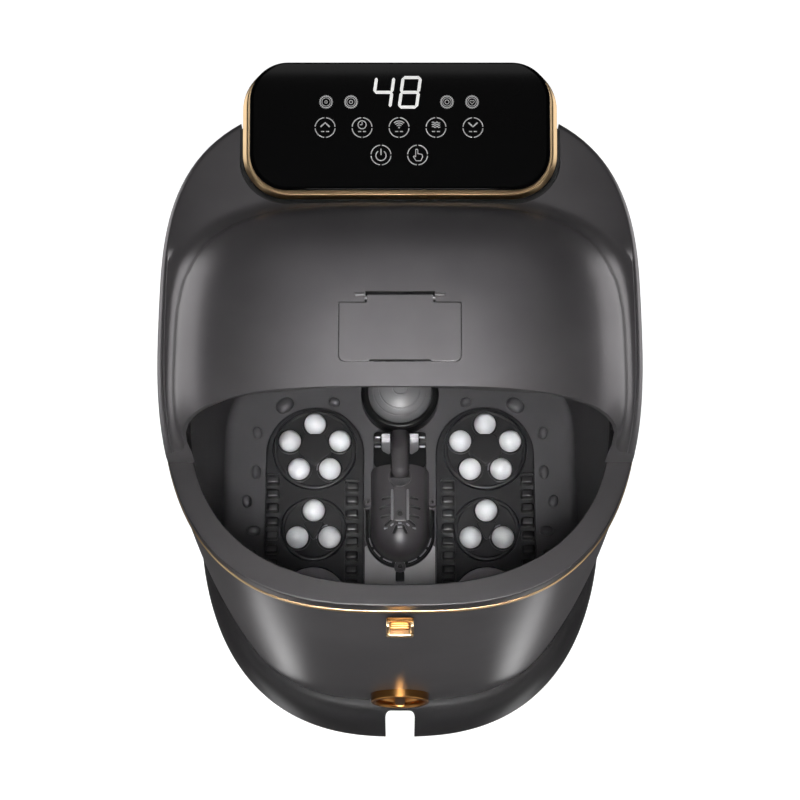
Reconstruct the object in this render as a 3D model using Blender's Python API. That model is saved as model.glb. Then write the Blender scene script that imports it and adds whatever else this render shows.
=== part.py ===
"""Heated foot spa basin: base, barrel shell, tub, half cover with hatch, tilted control panel,
two foot plates with driven massage discs, intake cage, lamp, pump, heater and drain knob.

Frame: metres in Blender, +Z up, +Y to the rear (panel side), origin on the floor under the
centre of the bounding box. Sizes below are in millimetres and are multiplied by MM.
"""
import math

import bmesh
import bpy
from mathutils import Matrix, Vector

MM = 0.001
GAP = 0.3                      # clearance between neighbouring pieces
OVAL_POINTS = 40               # points round each plan outline

# Heights
FOOT_TOP = 4.0
SKIRT_BOTTOM, SKIRT_TOP = 3.0, 58.5
PLATE_THICK = 4.0
SHELL_BOTTOM, SHELL_TOP = 60.0, 349.5
TRIM_BOTTOM, TRIM_TOP = 350.0, 354.7
RIM_BOTTOM, RIM_TOP = 355.0, 370.0
TUB_FLOOR = 75.0
DECK_EDGE, DECK_TOP = 384.0, 395.5
DOME_BASE, DOME_TOP = 396.0, 440.0
WALL = 3.0                     # moulded wall thickness
SKIRT_ROUND = 2.4              # superellipse power of the skirt's flare
BULGE = 8.0                    # how far the barrel swells at mid height

# Plan outlines: half width, front y, rear y, centre y of front and rear curves, exponents
BASE_OVAL = dict(half=188.5, front=-237.0, rear=237.0, yc=(0.0, 0.0), power=(2.5, 2.5))
SEAM_OVAL = dict(half=173.0, front=-214.0, rear=214.0, yc=(0.0, 0.0), power=(2.6, 2.6))
RIM_OVAL = dict(half=187.0, front=-206.0, rear=210.0, yc=(28.0, 28.0), power=(2.9, 2.9))
TUB_OVAL = dict(half=162.0, front=-190.0, rear=112.0, yc=(-47.0, 10.0), power=(2.5, 3.0))
DOME_OVAL = dict(half=172.0, front=-131.0, rear=106.0, yc=(-20.0, -20.0), power=(3.4, 3.4))

# Drain slot, knob and front clasp
SLOT_WIDTH, SLOT_BACK, PLATE_SLOT_BACK = 26.0, -222.0, -198.0
KNOB_Z, KNOB_RADIUS = 88.0, 20.5
BEZEL_OUTER, BEZEL_INNER = 25.5, 21.2
KNOB_FACE_Y = -222.0
CLASP_WIDTH, CLASP_Z, CLASP_PIVOT_Y = 21.0, 345.5, -212.6
CLASP_DEPTH, CLASP_LONG = 3.8, 28.0

# Foot plates and massage discs
PLATE_X, PLATE_HALF = 77.8, 45.0
PLATE_FRONT, PLATE_REAR = -166.0, 54.0
DISC_X = 78.0
ARCH_Y, MID_Y, HEEL_Y = 12.4, -63.2, -129.0
ARCH_RADIUS, MID_RADIUS, HEEL_RADIUS = 38.0, 29.5, 31.0
ARCH_BALLS, MID_BALLS = 5, 3
ARCH_BALL_RING, MID_BALL_RING = 24.0, 16.8
BALL_RADIUS = 10.0
DISC_BOTTOM, DISC_TOP = 75.7, 86.0
BALL_Z = 87.1
SHAFT_RADIUS, SHAFT_HOLE = 6.0, 6.6
GEAR_MODULE = 3.15
ARCH_TEETH, MID_TEETH = 28, 20
GEAR_BOTTOM, GEAR_TOP = 60.0, 66.0

# Centre line: lamp, bracket, pipe and intake cage
LAMP_Y, LAMP_RADIUS, LAMP_RING = 66.0, 31.0, 36.0
CAGE_REAR, CAGE_ROUND_Y, CAGE_HALF, CAGE_HIGH = -6.0, -66.0, 26.5, 34.0
PIPE_RADIUS, PIPE_Z = 8.0, 104.0

# Half cover and hatch
COVER_CUT_FOOT, COVER_CUT_TOP = -94.0, -58.0
DECK_FRONT = -93.0
HATCH_HALF, HATCH_FRONT, HATCH_REAR, HATCH_THICK = 45.5, -38.0, 15.5, 2.6
HINGE_Y, HINGE_Z, PIN_RADIUS, LUG_X = 14.0, 436.2, 1.2, 34.0

# Control panel, in its own tilted frame: its trim ring stands out at the front and the sides
PANEL_TILT = math.radians(15.0)
PANEL_HALF, PANEL_LONG, PANEL_ROUND = 118.0, 102.0, 30.0
PANEL_FRONT_Y, PANEL_FRONT_Z = 120.2, 402.0
TRIM_OUT, TRIM_REAR = 6.0, -0.5
PLINTH_TOP = 386.0             # top of the panel's foot at its front edge
NOTCH_HALF, NOTCH_FRONT, NOTCH_ROUND = 127.0, 111.0, 40.0   # recess that the panel stands in

GUNMETAL = (0.055, 0.052, 0.054, 0.36, 0.35)
DARK = (0.022, 0.021, 0.022, 0.45, 0.0)
BLACK = (0.008, 0.008, 0.008, 0.3, 0.0)
GOLD = (0.55, 0.36, 0.16, 0.3, 0.9)
WHITE = (0.62, 0.62, 0.64, 0.35, 0.0)
STEEL = (0.45, 0.45, 0.47, 0.3, 0.9)


# ---------------------------------------------------------------- helpers

def clear_scene():
    for item in list(bpy.data.objects):
        bpy.data.objects.remove(item)


def paint(item, finish):
    red, green, blue, rough, metal = finish
    material = bpy.data.materials.new(item.name + "_finish")
    material.use_nodes = True
    shader = material.node_tree.nodes["Principled BSDF"]
    shader.inputs["Base Color"].default_value = (red, green, blue, 1.0)
    shader.inputs["Roughness"].default_value = rough
    shader.inputs["Metallic"].default_value = metal
    item.data.materials.append(material)


def to_object(name, mesh_builder, finish=None, place=(0, 0, 0)):
    """Scales the builder's millimetre mesh, and places the object's origin at place."""
    bmesh.ops.recalc_face_normals(mesh_builder, faces=mesh_builder.faces)
    for vert in mesh_builder.verts:
        vert.co = (vert.co - Vector(place)) * MM
    mesh = bpy.data.meshes.new(name)
    mesh_builder.to_mesh(mesh)
    mesh_builder.free()
    mesh.shade_smooth()
    mesh.set_sharp_from_angle(angle=math.radians(35))
    item = bpy.data.objects.new(name, mesh)
    item.location = Vector(place) * MM
    bpy.context.scene.collection.objects.link(item)
    if finish:
        paint(item, finish)
    return item


def signed_power(value, power):
    return math.copysign(abs(value) ** power, value)


def oval(half, front, rear, yc, power, grow=0.0):
    """Closed outline of two half superellipses with straight sides between their centres."""
    points = []
    for step in range(OVAL_POINTS):
        angle = (step + 0.5) * 2 * math.pi / OVAL_POINTS
        is_rear = math.sin(angle) > 0
        exponent = 2 / (power[1] if is_rear else power[0])
        centre = yc[1] if is_rear else yc[0]
        depth = (rear + grow - centre) if is_rear else (centre - front + grow)
        points.append(((half + grow) * signed_power(math.cos(angle), exponent),
                       centre + depth * signed_power(math.sin(angle), exponent)))
    return points


def mix_outlines(first, second, share):
    return [(a[0] + (b[0] - a[0]) * share, a[1] + (b[1] - a[1]) * share)
            for a, b in zip(first, second)]


def loft(rings, closed=False):
    """Skins outlines at given heights; closed joins the last ring to the first, else caps."""
    builder = bmesh.new()
    rows = [[builder.verts.new((x, y, z)) for x, y in outline] for outline, z in rings]
    count = len(rows[0])
    pairs = list(zip(rows, rows[1:]))
    if closed:
        pairs.append((rows[-1], rows[0]))
    for low, high in pairs:
        for i in range(count):
            j = (i + 1) % count
            builder.faces.new((low[i], low[j], high[j], high[i]))
    if not closed:
        builder.faces.new(rows[0][::-1])
        builder.faces.new(rows[-1])
    return builder


def ring_prism(outer, inner, low, high):
    return loft([(outer, low), (outer, high), (inner, high), (inner, low)], closed=True)


def circle(radius, x=0.0, y=0.0, sides=24):
    return [(x + radius * math.cos(2 * math.pi * (k + 0.5) / sides),
             y + radius * math.sin(2 * math.pi * (k + 0.5) / sides)) for k in range(sides)]


def cylinder(radius, low, high, x=0.0, y=0.0, sides=24):
    return loft([(circle(radius, x, y, sides), low), (circle(radius, x, y, sides), high)])


def turned(profile, x=0.0, y=0.0, sides=24):
    """Solid of revolution about a vertical axis from (radius, height) points, bottom to top."""
    return loft([(circle(radius, x, y, sides), z) for radius, z in profile])


def block(low, high):
    builder = bmesh.new()
    bmesh.ops.create_cube(builder, size=1.0)
    size = Vector(high) - Vector(low)
    middle = (Vector(high) + Vector(low)) / 2
    for vert in builder.verts:
        vert.co = Vector(a * b for a, b in zip(vert.co, size)) + middle
    return builder


def along_y(builder, z, y=0.0, x=0.0):
    """Turns a mesh made about +Z so that its height runs along -Y, through (x, y, z)."""
    turn = Matrix.Translation((x, y, z)) @ Matrix.Rotation(math.radians(90), 4, "X")
    bmesh.ops.transform(builder, matrix=turn, verts=builder.verts)
    return builder


def along_x(builder, y, z):
    turn = Matrix.Translation((0, y, z)) @ Matrix.Rotation(math.radians(90), 4, "Y")
    bmesh.ops.transform(builder, matrix=turn, verts=builder.verts)
    return builder


def guide(name, builder):
    """A hidden operand for a Boolean."""
    item = to_object(name, builder)
    item.hide_render = True
    item.display_type = "WIRE"
    return item


def carve(item, cutter, operation="DIFFERENCE"):
    modifier = item.modifiers.new(cutter.name, "BOOLEAN")
    modifier.operation = operation
    modifier.solver = "EXACT"
    modifier.object = cutter
    return item


def cut(item, *builders):
    for builder in builders:
        carve(item, guide(item.name + "_cut_" + str(len(item.modifiers)), builder))
    return item


def join(item, *builders):
    for builder in builders:
        carve(item, guide(item.name + "_add_" + str(len(item.modifiers)), builder), "UNION")
    return item


def pivot(item, parent):
    """Keeps the item in place while it follows its parent."""
    item.parent = parent
    item.matrix_parent_inverse = Matrix.Translation(-Vector(parent.location))
    return item


# ---------------------------------------------------------------- base and shells

def skirt_outline(z, grow=0.0):
    """Quarter-round flare: upright at the floor, turning in to the seam at its top."""
    rise = (z - SKIRT_BOTTOM) / (SKIRT_TOP - SKIRT_BOTTOM)
    share = 1 - (1 - rise ** SKIRT_ROUND) ** (1 / SKIRT_ROUND)
    return mix_outlines(oval(**BASE_OVAL, grow=grow), oval(**SEAM_OVAL, grow=grow), share)


def shell_outline(z, grow=0.0):
    share = (z - SHELL_BOTTOM) / (SHELL_TOP - SHELL_BOTTOM)
    swell = BULGE * (1 - (2 * share - 1) ** 2)
    lower = oval(**SEAM_OVAL, grow=grow + swell)
    upper = oval(**RIM_OVAL, grow=grow + swell - 2.0)
    return mix_outlines(lower, upper, share)


def make_base():
    heights = (SKIRT_BOTTOM, 30.0, 44.0, 53.0, 57.3, SKIRT_TOP)
    outside = [(skirt_outline(z), z) for z in heights]
    lower = (heights[4] - WALL, heights[3] - WALL, heights[2] - WALL, 28.0, SKIRT_BOTTOM)
    inside = [(oval(**SEAM_OVAL, grow=-WALL), SKIRT_TOP)]
    inside += [(skirt_outline(z, -WALL), z) for z in lower]
    skirt = to_object("base_skirt", loft(outside + inside, closed=True), GUNMETAL)
    slot_half = SLOT_WIDTH / 2
    cut(skirt, block((-slot_half, -250, -5), (slot_half, SLOT_BACK, SKIRT_TOP + 5)))

    outline = oval(**BASE_OVAL, grow=-9.0)
    plate = to_object("base_plate", loft([(outline, FOOT_TOP + GAP),
                                          (outline, FOOT_TOP + GAP + PLATE_THICK)]), DARK)
    cut(plate, block((-slot_half - 3, -250, -5), (slot_half + 3, PLATE_SLOT_BACK, 20)))

    for side, x in (("left", -115.0), ("right", 115.0)):
        for end, y in (("front", -145.0), ("rear", 145.0)):
            builder = turned([(13.0, 0.0), (14.0, 1.0), (13.0, FOOT_TOP)], x, y, 16)
            to_object(f"rubber_foot_{end}_{side}", builder, BLACK)


def make_outer_shell():
    heights = (SHELL_BOTTOM, 130.0, 205.0, 280.0, SHELL_TOP)
    outside = [(shell_outline(z), z) for z in heights]
    inside = [(shell_outline(z, -WALL), z) for z in reversed(heights)]
    shell = to_object("outer_shell", loft(outside + inside, closed=True), GUNMETAL)
    cut(shell,
        along_y(cylinder(BEZEL_OUTER + GAP + 0.2, 195, 240), KNOB_Z),
        along_y(cylinder(9.6, -240, -190, sides=16), 95.0))


def make_tub():
    inner = oval(**TUB_OVAL)
    outer = oval(**TUB_OVAL, grow=WALL)
    corner = oval(**TUB_OVAL, grow=-5.0)
    top = RIM_BOTTOM - GAP
    tub = to_object("inner_tub", loft([(outer, TUB_FLOOR - WALL), (outer, top), (inner, top),
                                       (inner, TUB_FLOOR + 5.0), (corner, TUB_FLOOR)]), DARK)
    holes = [cylinder(SHAFT_HOLE, 60, 90, x, y, 12)
             for x in (-DISC_X, DISC_X) for y in (ARCH_Y, MID_Y)]
    cut(tub, *holes)


def make_rim():
    band = ring_prism(oval(**RIM_OVAL), oval(**TUB_OVAL, grow=-1.0), RIM_BOTTOM, RIM_TOP)
    to_object("rim_ring", band, GUNMETAL)
    trim = ring_prism(oval(**RIM_OVAL, grow=1.0), oval(**RIM_OVAL, grow=-5.0),
                      TRIM_BOTTOM, TRIM_TOP)
    to_object("gold_trim_band", trim, GOLD)


# ---------------------------------------------------------------- clasp and drain

def make_clasp():
    """A spring clasp hooked under the gold band, hinged along X near its top."""
    half = CLASP_WIDTH / 2
    front, back = CLASP_PIVOT_Y - CLASP_DEPTH, CLASP_PIVOT_Y + CLASP_DEPTH
    hook = block((-half, front, CLASP_Z - CLASP_LONG), (half, back, CLASP_Z + 3.5))
    clasp = to_object("front_clasp", hook, GOLD, (0, CLASP_PIVOT_Y, CLASP_Z))
    cut(clasp, block((-half + 2, front - 5, CLASP_Z - CLASP_LONG + 7),
                     (half - 2, back - 2, CLASP_Z + 8)))


def make_drain():
    outer, inner = circle(BEZEL_OUTER, sides=24), circle(BEZEL_INNER, sides=24)
    bezel = ring_prism(outer, inner, -KNOB_FACE_Y - 13, -KNOB_FACE_Y)
    to_object("drain_bezel", along_y(bezel, KNOB_Z), GOLD)

    face = -KNOB_FACE_Y
    dish = along_y(turned([(4.0, face - 18), (4.0, face - 12), (KNOB_RADIUS, face - 12),
                           (KNOB_RADIUS, face - 8)]), KNOB_Z)
    knob = to_object("drain_knob", dish, GOLD, (0, KNOB_FACE_Y, KNOB_Z))
    join(knob, block((-5, KNOB_FACE_Y + 1, KNOB_Z - 18), (5, KNOB_FACE_Y + 9, KNOB_Z + 18)))

    body = block((-16, -203.5, 40), (16, -195, 104))
    valve = to_object("drain_valve", body, DARK)
    join(valve, along_y(cylinder(7.0, 196, 209, sides=12), 48.0),
         cylinder(6.0, 16, 44, 0, -199.5, 12))


# ---------------------------------------------------------------- foot plates and discs

def stadium(half, front, rear, x=0.0, arc_steps=8):
    """Outline with parallel sides and two round ends."""
    points = []
    for centre, start in ((rear - half, 0.0), (front + half, math.pi)):
        for step in range(arc_steps + 1):
            angle = start + math.pi * step / arc_steps
            points.append((x + half * math.cos(angle), centre + half * math.sin(angle)))
    return points


def gear(teeth, x, y, phase):
    """Spur gear with straight-sided teeth and a round bore for the shaft."""
    pitch = GEAR_MODULE * teeth / 2
    profile = ((-0.30, pitch - 1.2 * GEAR_MODULE), (-0.115, pitch + 0.9 * GEAR_MODULE),
               (0.115, pitch + 0.9 * GEAR_MODULE), (0.30, pitch - 1.2 * GEAR_MODULE))
    outline = []
    for tooth in range(teeth):
        for offset, radius in profile:
            angle = 2 * math.pi * (tooth + phase + offset) / teeth
            outline.append((x + radius * math.cos(angle), y + radius * math.sin(angle)))
    return loft([(outline, GEAR_BOTTOM), (outline, GEAR_TOP)])


def make_disc(name, x, y, radius, balls, ball_ring, body):
    """A disc on its shaft, carrying balls in blind pockets; every piece turns about the shaft."""
    profile = [(SHAFT_RADIUS, GEAR_BOTTOM - 1), (SHAFT_RADIUS, DISC_BOTTOM),
               (radius, DISC_BOTTOM), (radius, DISC_TOP - 2), (radius - 2, DISC_TOP)]
    disc = to_object(f"{name}_disc_{body}", turned(profile, x, y, 32), DARK, (x, y, DISC_TOP))
    for number in range(balls):
        angle = math.radians(90) + 2 * math.pi * number / balls
        ball_x = x + ball_ring * math.cos(angle)
        ball_y = y + ball_ring * math.sin(angle)
        cut(disc, cylinder(BALL_RADIUS + 0.7, DISC_BOTTOM + 1, DISC_TOP + 4, ball_x, ball_y, 14))
        builder = bmesh.new()
        bmesh.ops.create_uvsphere(builder, u_segments=10, v_segments=7, radius=BALL_RADIUS)
        bmesh.ops.translate(builder, vec=(ball_x, ball_y, BALL_Z), verts=builder.verts)
        ball = to_object(f"{name}_ball_{number + 1}_{body}", builder, WHITE,
                         (ball_x, ball_y, BALL_Z))
        pivot(ball, disc)
    return disc


def make_foot_station(side, sign):
    x = sign * DISC_X
    plate_x = sign * PLATE_X
    plate_outline = stadium(PLATE_HALF, PLATE_FRONT, PLATE_REAR, plate_x)
    plate = to_object(f"foot_plate_{side}", loft([(plate_outline, TUB_FLOOR + GAP),
                                                  (plate_outline, 84.0)]), DARK)
    cut(plate,
        cylinder(ARCH_RADIUS + 0.8, 70, 95, x, ARCH_Y, 32),
        cylinder(MID_RADIUS + 0.8, 70, 95, x, MID_Y, 32),
        cylinder(HEEL_RADIUS + 0.8, 77.5, 95, x, HEEL_Y, 24))
    for row_x, first_y, count in ((x - sign * 34.5, -23.0, 8), (x + sign * 37.5, -17.0, 7)):
        for number in range(count):
            join(plate, turned([(4.2, 80.0), (4.2, 86.0), (2.4, 88.5)],
                               row_x, first_y - 13.0 * number, 6))

    heel = turned([(HEEL_RADIUS, 78.0), (HEEL_RADIUS, 82.0), (20.0, 86.5), (9.0, 89.0)], x, HEEL_Y)
    to_object(f"heel_pad_{side}", heel, STEEL)

    arch = make_disc("arch", x, ARCH_Y, ARCH_RADIUS, ARCH_BALLS, ARCH_BALL_RING, side)
    mid = make_disc("mid", x, MID_Y, MID_RADIUS, MID_BALLS, MID_BALL_RING, side)
    bore = SHAFT_RADIUS + GAP
    for name, teeth, y, disc, phase in (("arch", ARCH_TEETH, ARCH_Y, arch, 0.0),
                                        ("mid", MID_TEETH, MID_Y, mid, 0.5)):
        wheel = to_object(f"{name}_gear_{side}", gear(teeth, x, y, phase), WHITE,
                          (x, y, GEAR_TOP))
        cut(wheel, cylinder(bore, GEAR_BOTTOM - 5, GEAR_TOP + 5, x, y, 16))
        pivot(wheel, disc)

    motor = turned([(21.0, 12.0), (21.0, 50.0), (9.0, 50.0), (9.0, 56.0)], x, ARCH_Y, 20)
    to_object(f"massage_motor_{side}", motor, STEEL)


# ---------------------------------------------------------------- centre line of the tub

def arch_solid(half, rear, round_y, high, low):
    """Half-capsule: an arch along Y, with a round front end."""
    rings = []
    stations = [(rear, 1.0), (round_y, 1.0)]
    for step in range(1, 5):
        angle = math.radians(88) * step / 4
        stations.append((round_y - half * math.sin(angle), math.cos(angle)))
    builder = bmesh.new()
    for y, scale in stations:
        row = []
        for step in range(11):
            angle = math.pi * step / 10
            row.append(builder.verts.new((half * scale * math.cos(angle), y,
                                          TUB_FLOOR + GAP + high * scale ** 0.5
                                          * math.sin(angle) ** 0.8)))
        for x_end in (-half * scale, half * scale):
            row.append(builder.verts.new((x_end, y, low)))
        rings.append(row)
    for first, second in zip(rings, rings[1:]):
        count = len(first)
        for i in range(count):
            j = (i + 1) % count
            builder.faces.new((first[i], first[j], second[j], second[i]))
    builder.faces.new(rings[0])
    builder.faces.new(rings[-1][::-1])
    return builder


def make_intake():
    base = TUB_FLOOR + GAP
    cage = to_object("intake_cage", arch_solid(CAGE_HALF, CAGE_REAR, CAGE_ROUND_Y, CAGE_HIGH,
                                               base), DARK)
    cut(cage, arch_solid(CAGE_HALF - 2.5, CAGE_REAR - 2.5, CAGE_ROUND_Y, CAGE_HIGH - 2.5,
                         base - 8))
    cut(cage, along_y(cylinder(PIPE_RADIUS + 0.5, -CAGE_REAR - 6, 22, sides=16), PIPE_Z))
    for side in (-1, 1):
        for number in range(3):
            y = -36.0 - 9.5 * number
            low, high = sorted((side * 8.5, side * 19.0))
            cut(cage, block((low, y - 1.6, 90), (high, y + 1.6, 120)))

    footprint = stadium(CAGE_HALF + 0.6, CAGE_ROUND_Y - CAGE_HALF - 0.6, CAGE_REAR + 26.0)
    flange = stadium(CAGE_HALF + 5.0, CAGE_ROUND_Y - CAGE_HALF - 5.0, CAGE_REAR + 26.0)
    collar = to_object("cage_flange", ring_prism(flange, footprint, base, base + 4.0), DARK)
    cut(collar, block((-60, -44, 60), (60, 60, 100)))


def make_lamp_and_pipe():
    base = TUB_FLOOR + GAP
    ring = ring_prism(circle(LAMP_RING, 0, LAMP_Y, 32), circle(LAMP_RADIUS + 0.6, 0, LAMP_Y, 32),
                      base, 92.0)
    to_object("lamp_bezel", ring, BLACK)
    dome = [(LAMP_RADIUS * math.cos(math.radians(a)), 88.0 + 18.0 * math.sin(math.radians(a)))
            for a in (0, 25, 50, 72)]
    to_object("lamp_lens", turned([(LAMP_RADIUS, base)] + dome, 0, LAMP_Y, 32), STEEL)

    bracket = to_object("pipe_bracket", block((-24, -5.0, base), (24, 29.0, 87.0)), DARK)
    cut(bracket, block((-19, 2, 70), (-10, 22, 95)), block((10, 2, 70), (19, 22, 95)))
    route = ((29.4, 96.5), (20.0, 100.5), (8.0, PIPE_Z), (-21.0, PIPE_Z))
    curve = bpy.data.curves.new("feed_pipe", "CURVE")
    curve.dimensions = "3D"
    curve.bevel_depth = PIPE_RADIUS * MM
    curve.bevel_resolution = 3
    curve.use_fill_caps = True
    spline = curve.splines.new("POLY")
    spline.points.add(len(route) - 1)
    for point, (y, z) in zip(spline.points, route):
        point.co = (0, y * MM, z * MM, 1)
    pipe = bpy.data.objects.new("feed_pipe", curve)
    bpy.context.scene.collection.objects.link(pipe)
    paint(pipe, DARK)


def make_works():
    """Pump, heater and mains inlet behind the tub."""
    pump = turned([(24.0, 9.0), (24.0, 52.0), (12.0, 52.0), (12.0, 84.0)], -62.0, 158.0, 20)
    to_object("circulation_pump", pump, BLACK)
    heater = turned([(10.0, 9.0), (10.0, 30.0), (17.0, 36.0), (17.0, 120.0), (10.0, 126.0),
                     (10.0, 146.0)], 62.0, 158.0, 20)
    to_object("water_heater", heater, STEEL)
    gland = turned([(9.0, -221.0), (9.0, -214.0), (9.0, -200.0)], 0, 0, 16)
    to_object("power_inlet", along_y(gland, 95.0), BLACK)


# ---------------------------------------------------------------- deck, cover and hatch

def notch_outline(grow):
    """Recess round the panel: two front corners with a radius, open to the rear."""
    half, front = NOTCH_HALF + grow, NOTCH_FRONT - grow
    radius = NOTCH_ROUND + grow
    points = [(half, 320.0), (-half, 320.0)]
    for centre_x, start in ((-half + radius, 180), (half - radius, 270)):
        for step in range(7):
            angle = math.radians(start + 15 * step)
            points.append((centre_x + radius * math.cos(angle),
                           front + radius + radius * math.sin(angle)))
    return points


def make_shoulder():
    """Shoulder round the dome: a solid ring, hollowed from below, ended flat at the front."""
    bottom = RIM_TOP + GAP
    ledge = oval(**DOME_OVAL, grow=-6.0)
    ring = loft([(oval(**RIM_OVAL), bottom), (oval(**RIM_OVAL), DECK_EDGE),
                 (oval(**RIM_OVAL, grow=-7.0), 392.5), (ledge, DECK_TOP), (ledge, bottom)],
                closed=True)
    cover = to_object("half_cover", ring, GUNMETAL, (0, 0, DOME_BASE))
    hollow = guide("half_cover_hollow", ring_prism(oval(**RIM_OVAL, grow=-7.5),
                                                   oval(**DOME_OVAL, grow=-3.0),
                                                   bottom - 6, DECK_EDGE + 4))
    cut(hollow, block((-250, -300, 350), (250, DECK_FRONT + WALL, 450)),
        loft([(notch_outline(WALL), 350), (notch_outline(WALL), 450)]))
    cut(cover, block((-250, -300, 350), (250, DECK_FRONT, 450)))
    carve(cover, hollow)
    return cut(cover, loft([(notch_outline(0.0), 350), (notch_outline(0.0), 450)]))


def dome_solid(grow, foot, lower):
    """Hood: superellipse arch across, closing down to the rear, running on at the front."""
    steps = 7
    rings = [(oval(**DOME_OVAL, grow=grow), foot)] if lower else []
    centre = DOME_OVAL["yc"][1]
    for step in range(steps + 1):
        share = math.cos(math.radians(90) * step / steps) if step < steps else 0.08
        high = (DOME_TOP - DOME_BASE + grow) * (1 - share ** 3.4) ** (1 / 2.4)
        outline = []
        for x, y in oval(**DOME_OVAL, grow=grow):
            outline.append((x * share, centre + (y - centre) * (share if y > centre else 1.0)))
        rings.append((outline, DOME_BASE + high))
    return loft(rings)


def make_cover():
    """Dome on the shoulder, cut off along a plane that leans back, with the hatch hole."""
    dome = guide("half_cover_dome", dome_solid(0.0, DOME_BASE - 3.5, True))
    cut(dome, dome_solid(-WALL, DOME_BASE - 10, True))
    lean = (COVER_CUT_TOP - COVER_CUT_FOOT) / (DOME_TOP - DOME_BASE)
    drop, rise = -40.0, 60.0
    corners = [(-220.0, drop), (COVER_CUT_FOOT + lean * drop, drop),
               (COVER_CUT_FOOT + lean * rise, rise), (-220.0, rise)]
    builder = bmesh.new()
    ends = [[builder.verts.new((x, y, DOME_BASE + z)) for y, z in corners] for x in (-250, 250)]
    builder.faces.new(ends[0])
    builder.faces.new(ends[1][::-1])
    for i in range(4):
        j = (i + 1) % 4
        builder.faces.new((ends[0][i], ends[0][j], ends[1][j], ends[1][i]))
    cut(dome, builder)
    cover = carve(make_shoulder(), dome, "UNION")
    cut(cover, block((-HATCH_HALF - 0.6, HATCH_FRONT - 0.6, 425), (HATCH_HALF + 0.6, 18.6, 450)))
    for side in (-1, 1):
        low, high = sorted((side * (LUG_X - 3), side * (LUG_X + 3)))
        join(cover, block((low, 11.0, 432.0), (high, 19.0, 436.9)),
             block((low, 18.8, 432.0), (high, 23.0, 438.6)))
    cut(cover, along_x(cylinder(PIN_RADIUS + GAP, -60, 60, sides=12), HINGE_Y, HINGE_Z))
    return cover


def make_hatch(cover):
    top = DOME_TOP - 0.4
    hinge = (0, HINGE_Y, HINGE_Z)
    plate = block((-HATCH_HALF, HATCH_FRONT, top - HATCH_THICK), (HATCH_HALF, HATCH_REAR, top))
    door = to_object("hatch_door", plate, GUNMETAL, hinge)
    join(door, along_x(cylinder(2.7, -LUG_X + 4, LUG_X - 4, sides=14), HINGE_Y, HINGE_Z))
    for side in (-1, 1):
        low, high = sorted((side * (LUG_X - 4), side * (LUG_X + 4)))
        cut(door, block((low, 11.0, 430), (high, 30, 445)))
    cut(door, along_x(cylinder(PIN_RADIUS + GAP, -60, 60, sides=12), HINGE_Y, HINGE_Z),
        block((-22, HATCH_FRONT - 1, 430), (22, HATCH_FRONT + 1.6, 445)))
    pivot(door, cover)
    pin = along_x(cylinder(PIN_RADIUS, -LUG_X - 2.5, LUG_X + 2.5, sides=12), HINGE_Y, HINGE_Z)
    pivot(to_object("hatch_pin", pin, STEEL, hinge), cover)


# ---------------------------------------------------------------- control panel

def round_rect(grow, rear_grow=None):
    """Rounded rectangle in the panel's own plane; its front edge lies on y = 0 when grow is 0."""
    half, radius = PANEL_HALF + grow, PANEL_ROUND + grow
    low, high = -grow, PANEL_LONG + (grow if rear_grow is None else rear_grow)
    corners = ((half - radius, high - radius, 0), (-half + radius, high - radius, 90),
               (-half + radius, low + radius, 180), (half - radius, low + radius, 270))
    points = []
    for cx, cy, start in corners:
        for step in range(7):
            angle = math.radians(start + 15 * step)
            points.append((cx + radius * math.cos(angle), cy + radius * math.sin(angle)))
    return points


def tilted(builder):
    place = (Matrix.Translation((0, PANEL_FRONT_Y, PANEL_FRONT_Z))
             @ Matrix.Rotation(PANEL_TILT, 4, "X"))
    bmesh.ops.transform(builder, matrix=place, verts=builder.verts)
    return builder


def make_panel():
    to_object("panel_glass", tilted(loft([(round_rect(0), -3.0), (round_rect(0), 0.0)])), BLACK)
    to_object("panel_trim_ring", tilted(ring_prism(round_rect(TRIM_OUT, TRIM_REAR), round_rect(-4.0),
                                                   -9.0, -4.5)), GOLD)
    case = to_object("panel_housing", tilted(loft([(round_rect(-4.4), -24.0),
                                                   (round_rect(-4.4), -3.3)])), BLACK)
    bottom = RIM_TOP + GAP
    wedge = loft([(notch_outline(-2 * GAP), bottom), (notch_outline(-2 * GAP), PLINTH_TOP)])
    for vert in wedge.verts:
        if vert.co.z > bottom + 1:
            vert.co.z += (vert.co.y - NOTCH_FRONT) * math.tan(PANEL_TILT)
    plinth = guide("panel_housing_plinth", wedge)
    carve(plinth, guide("panel_housing_outline", loft([(oval(**RIM_OVAL, grow=-12.0), 360),
                                                       (oval(**RIM_OVAL, grow=-12.0), 450)])),
          "INTERSECT")
    carve(case, plinth, "UNION")


def main():
    clear_scene()
    make_base()
    make_outer_shell()
    make_tub()
    make_rim()
    make_clasp()
    make_drain()
    for side, sign in (("left", -1), ("right", 1)):
        make_foot_station(side, sign)
    make_intake()
    make_lamp_and_pipe()
    make_works()
    make_hatch(make_cover())
    make_panel()


main()
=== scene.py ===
"""Foot spa basin: fine meshes, materials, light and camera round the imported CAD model.

Lengths below are millimetres in the frame of the CAD model, and are scaled by MM when a mesh is
made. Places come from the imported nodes' boxes, so each piece sits where its node is.
"""
import math

import bmesh
import bpy
import numpy as np
from mathutils import Matrix, Vector


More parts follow.
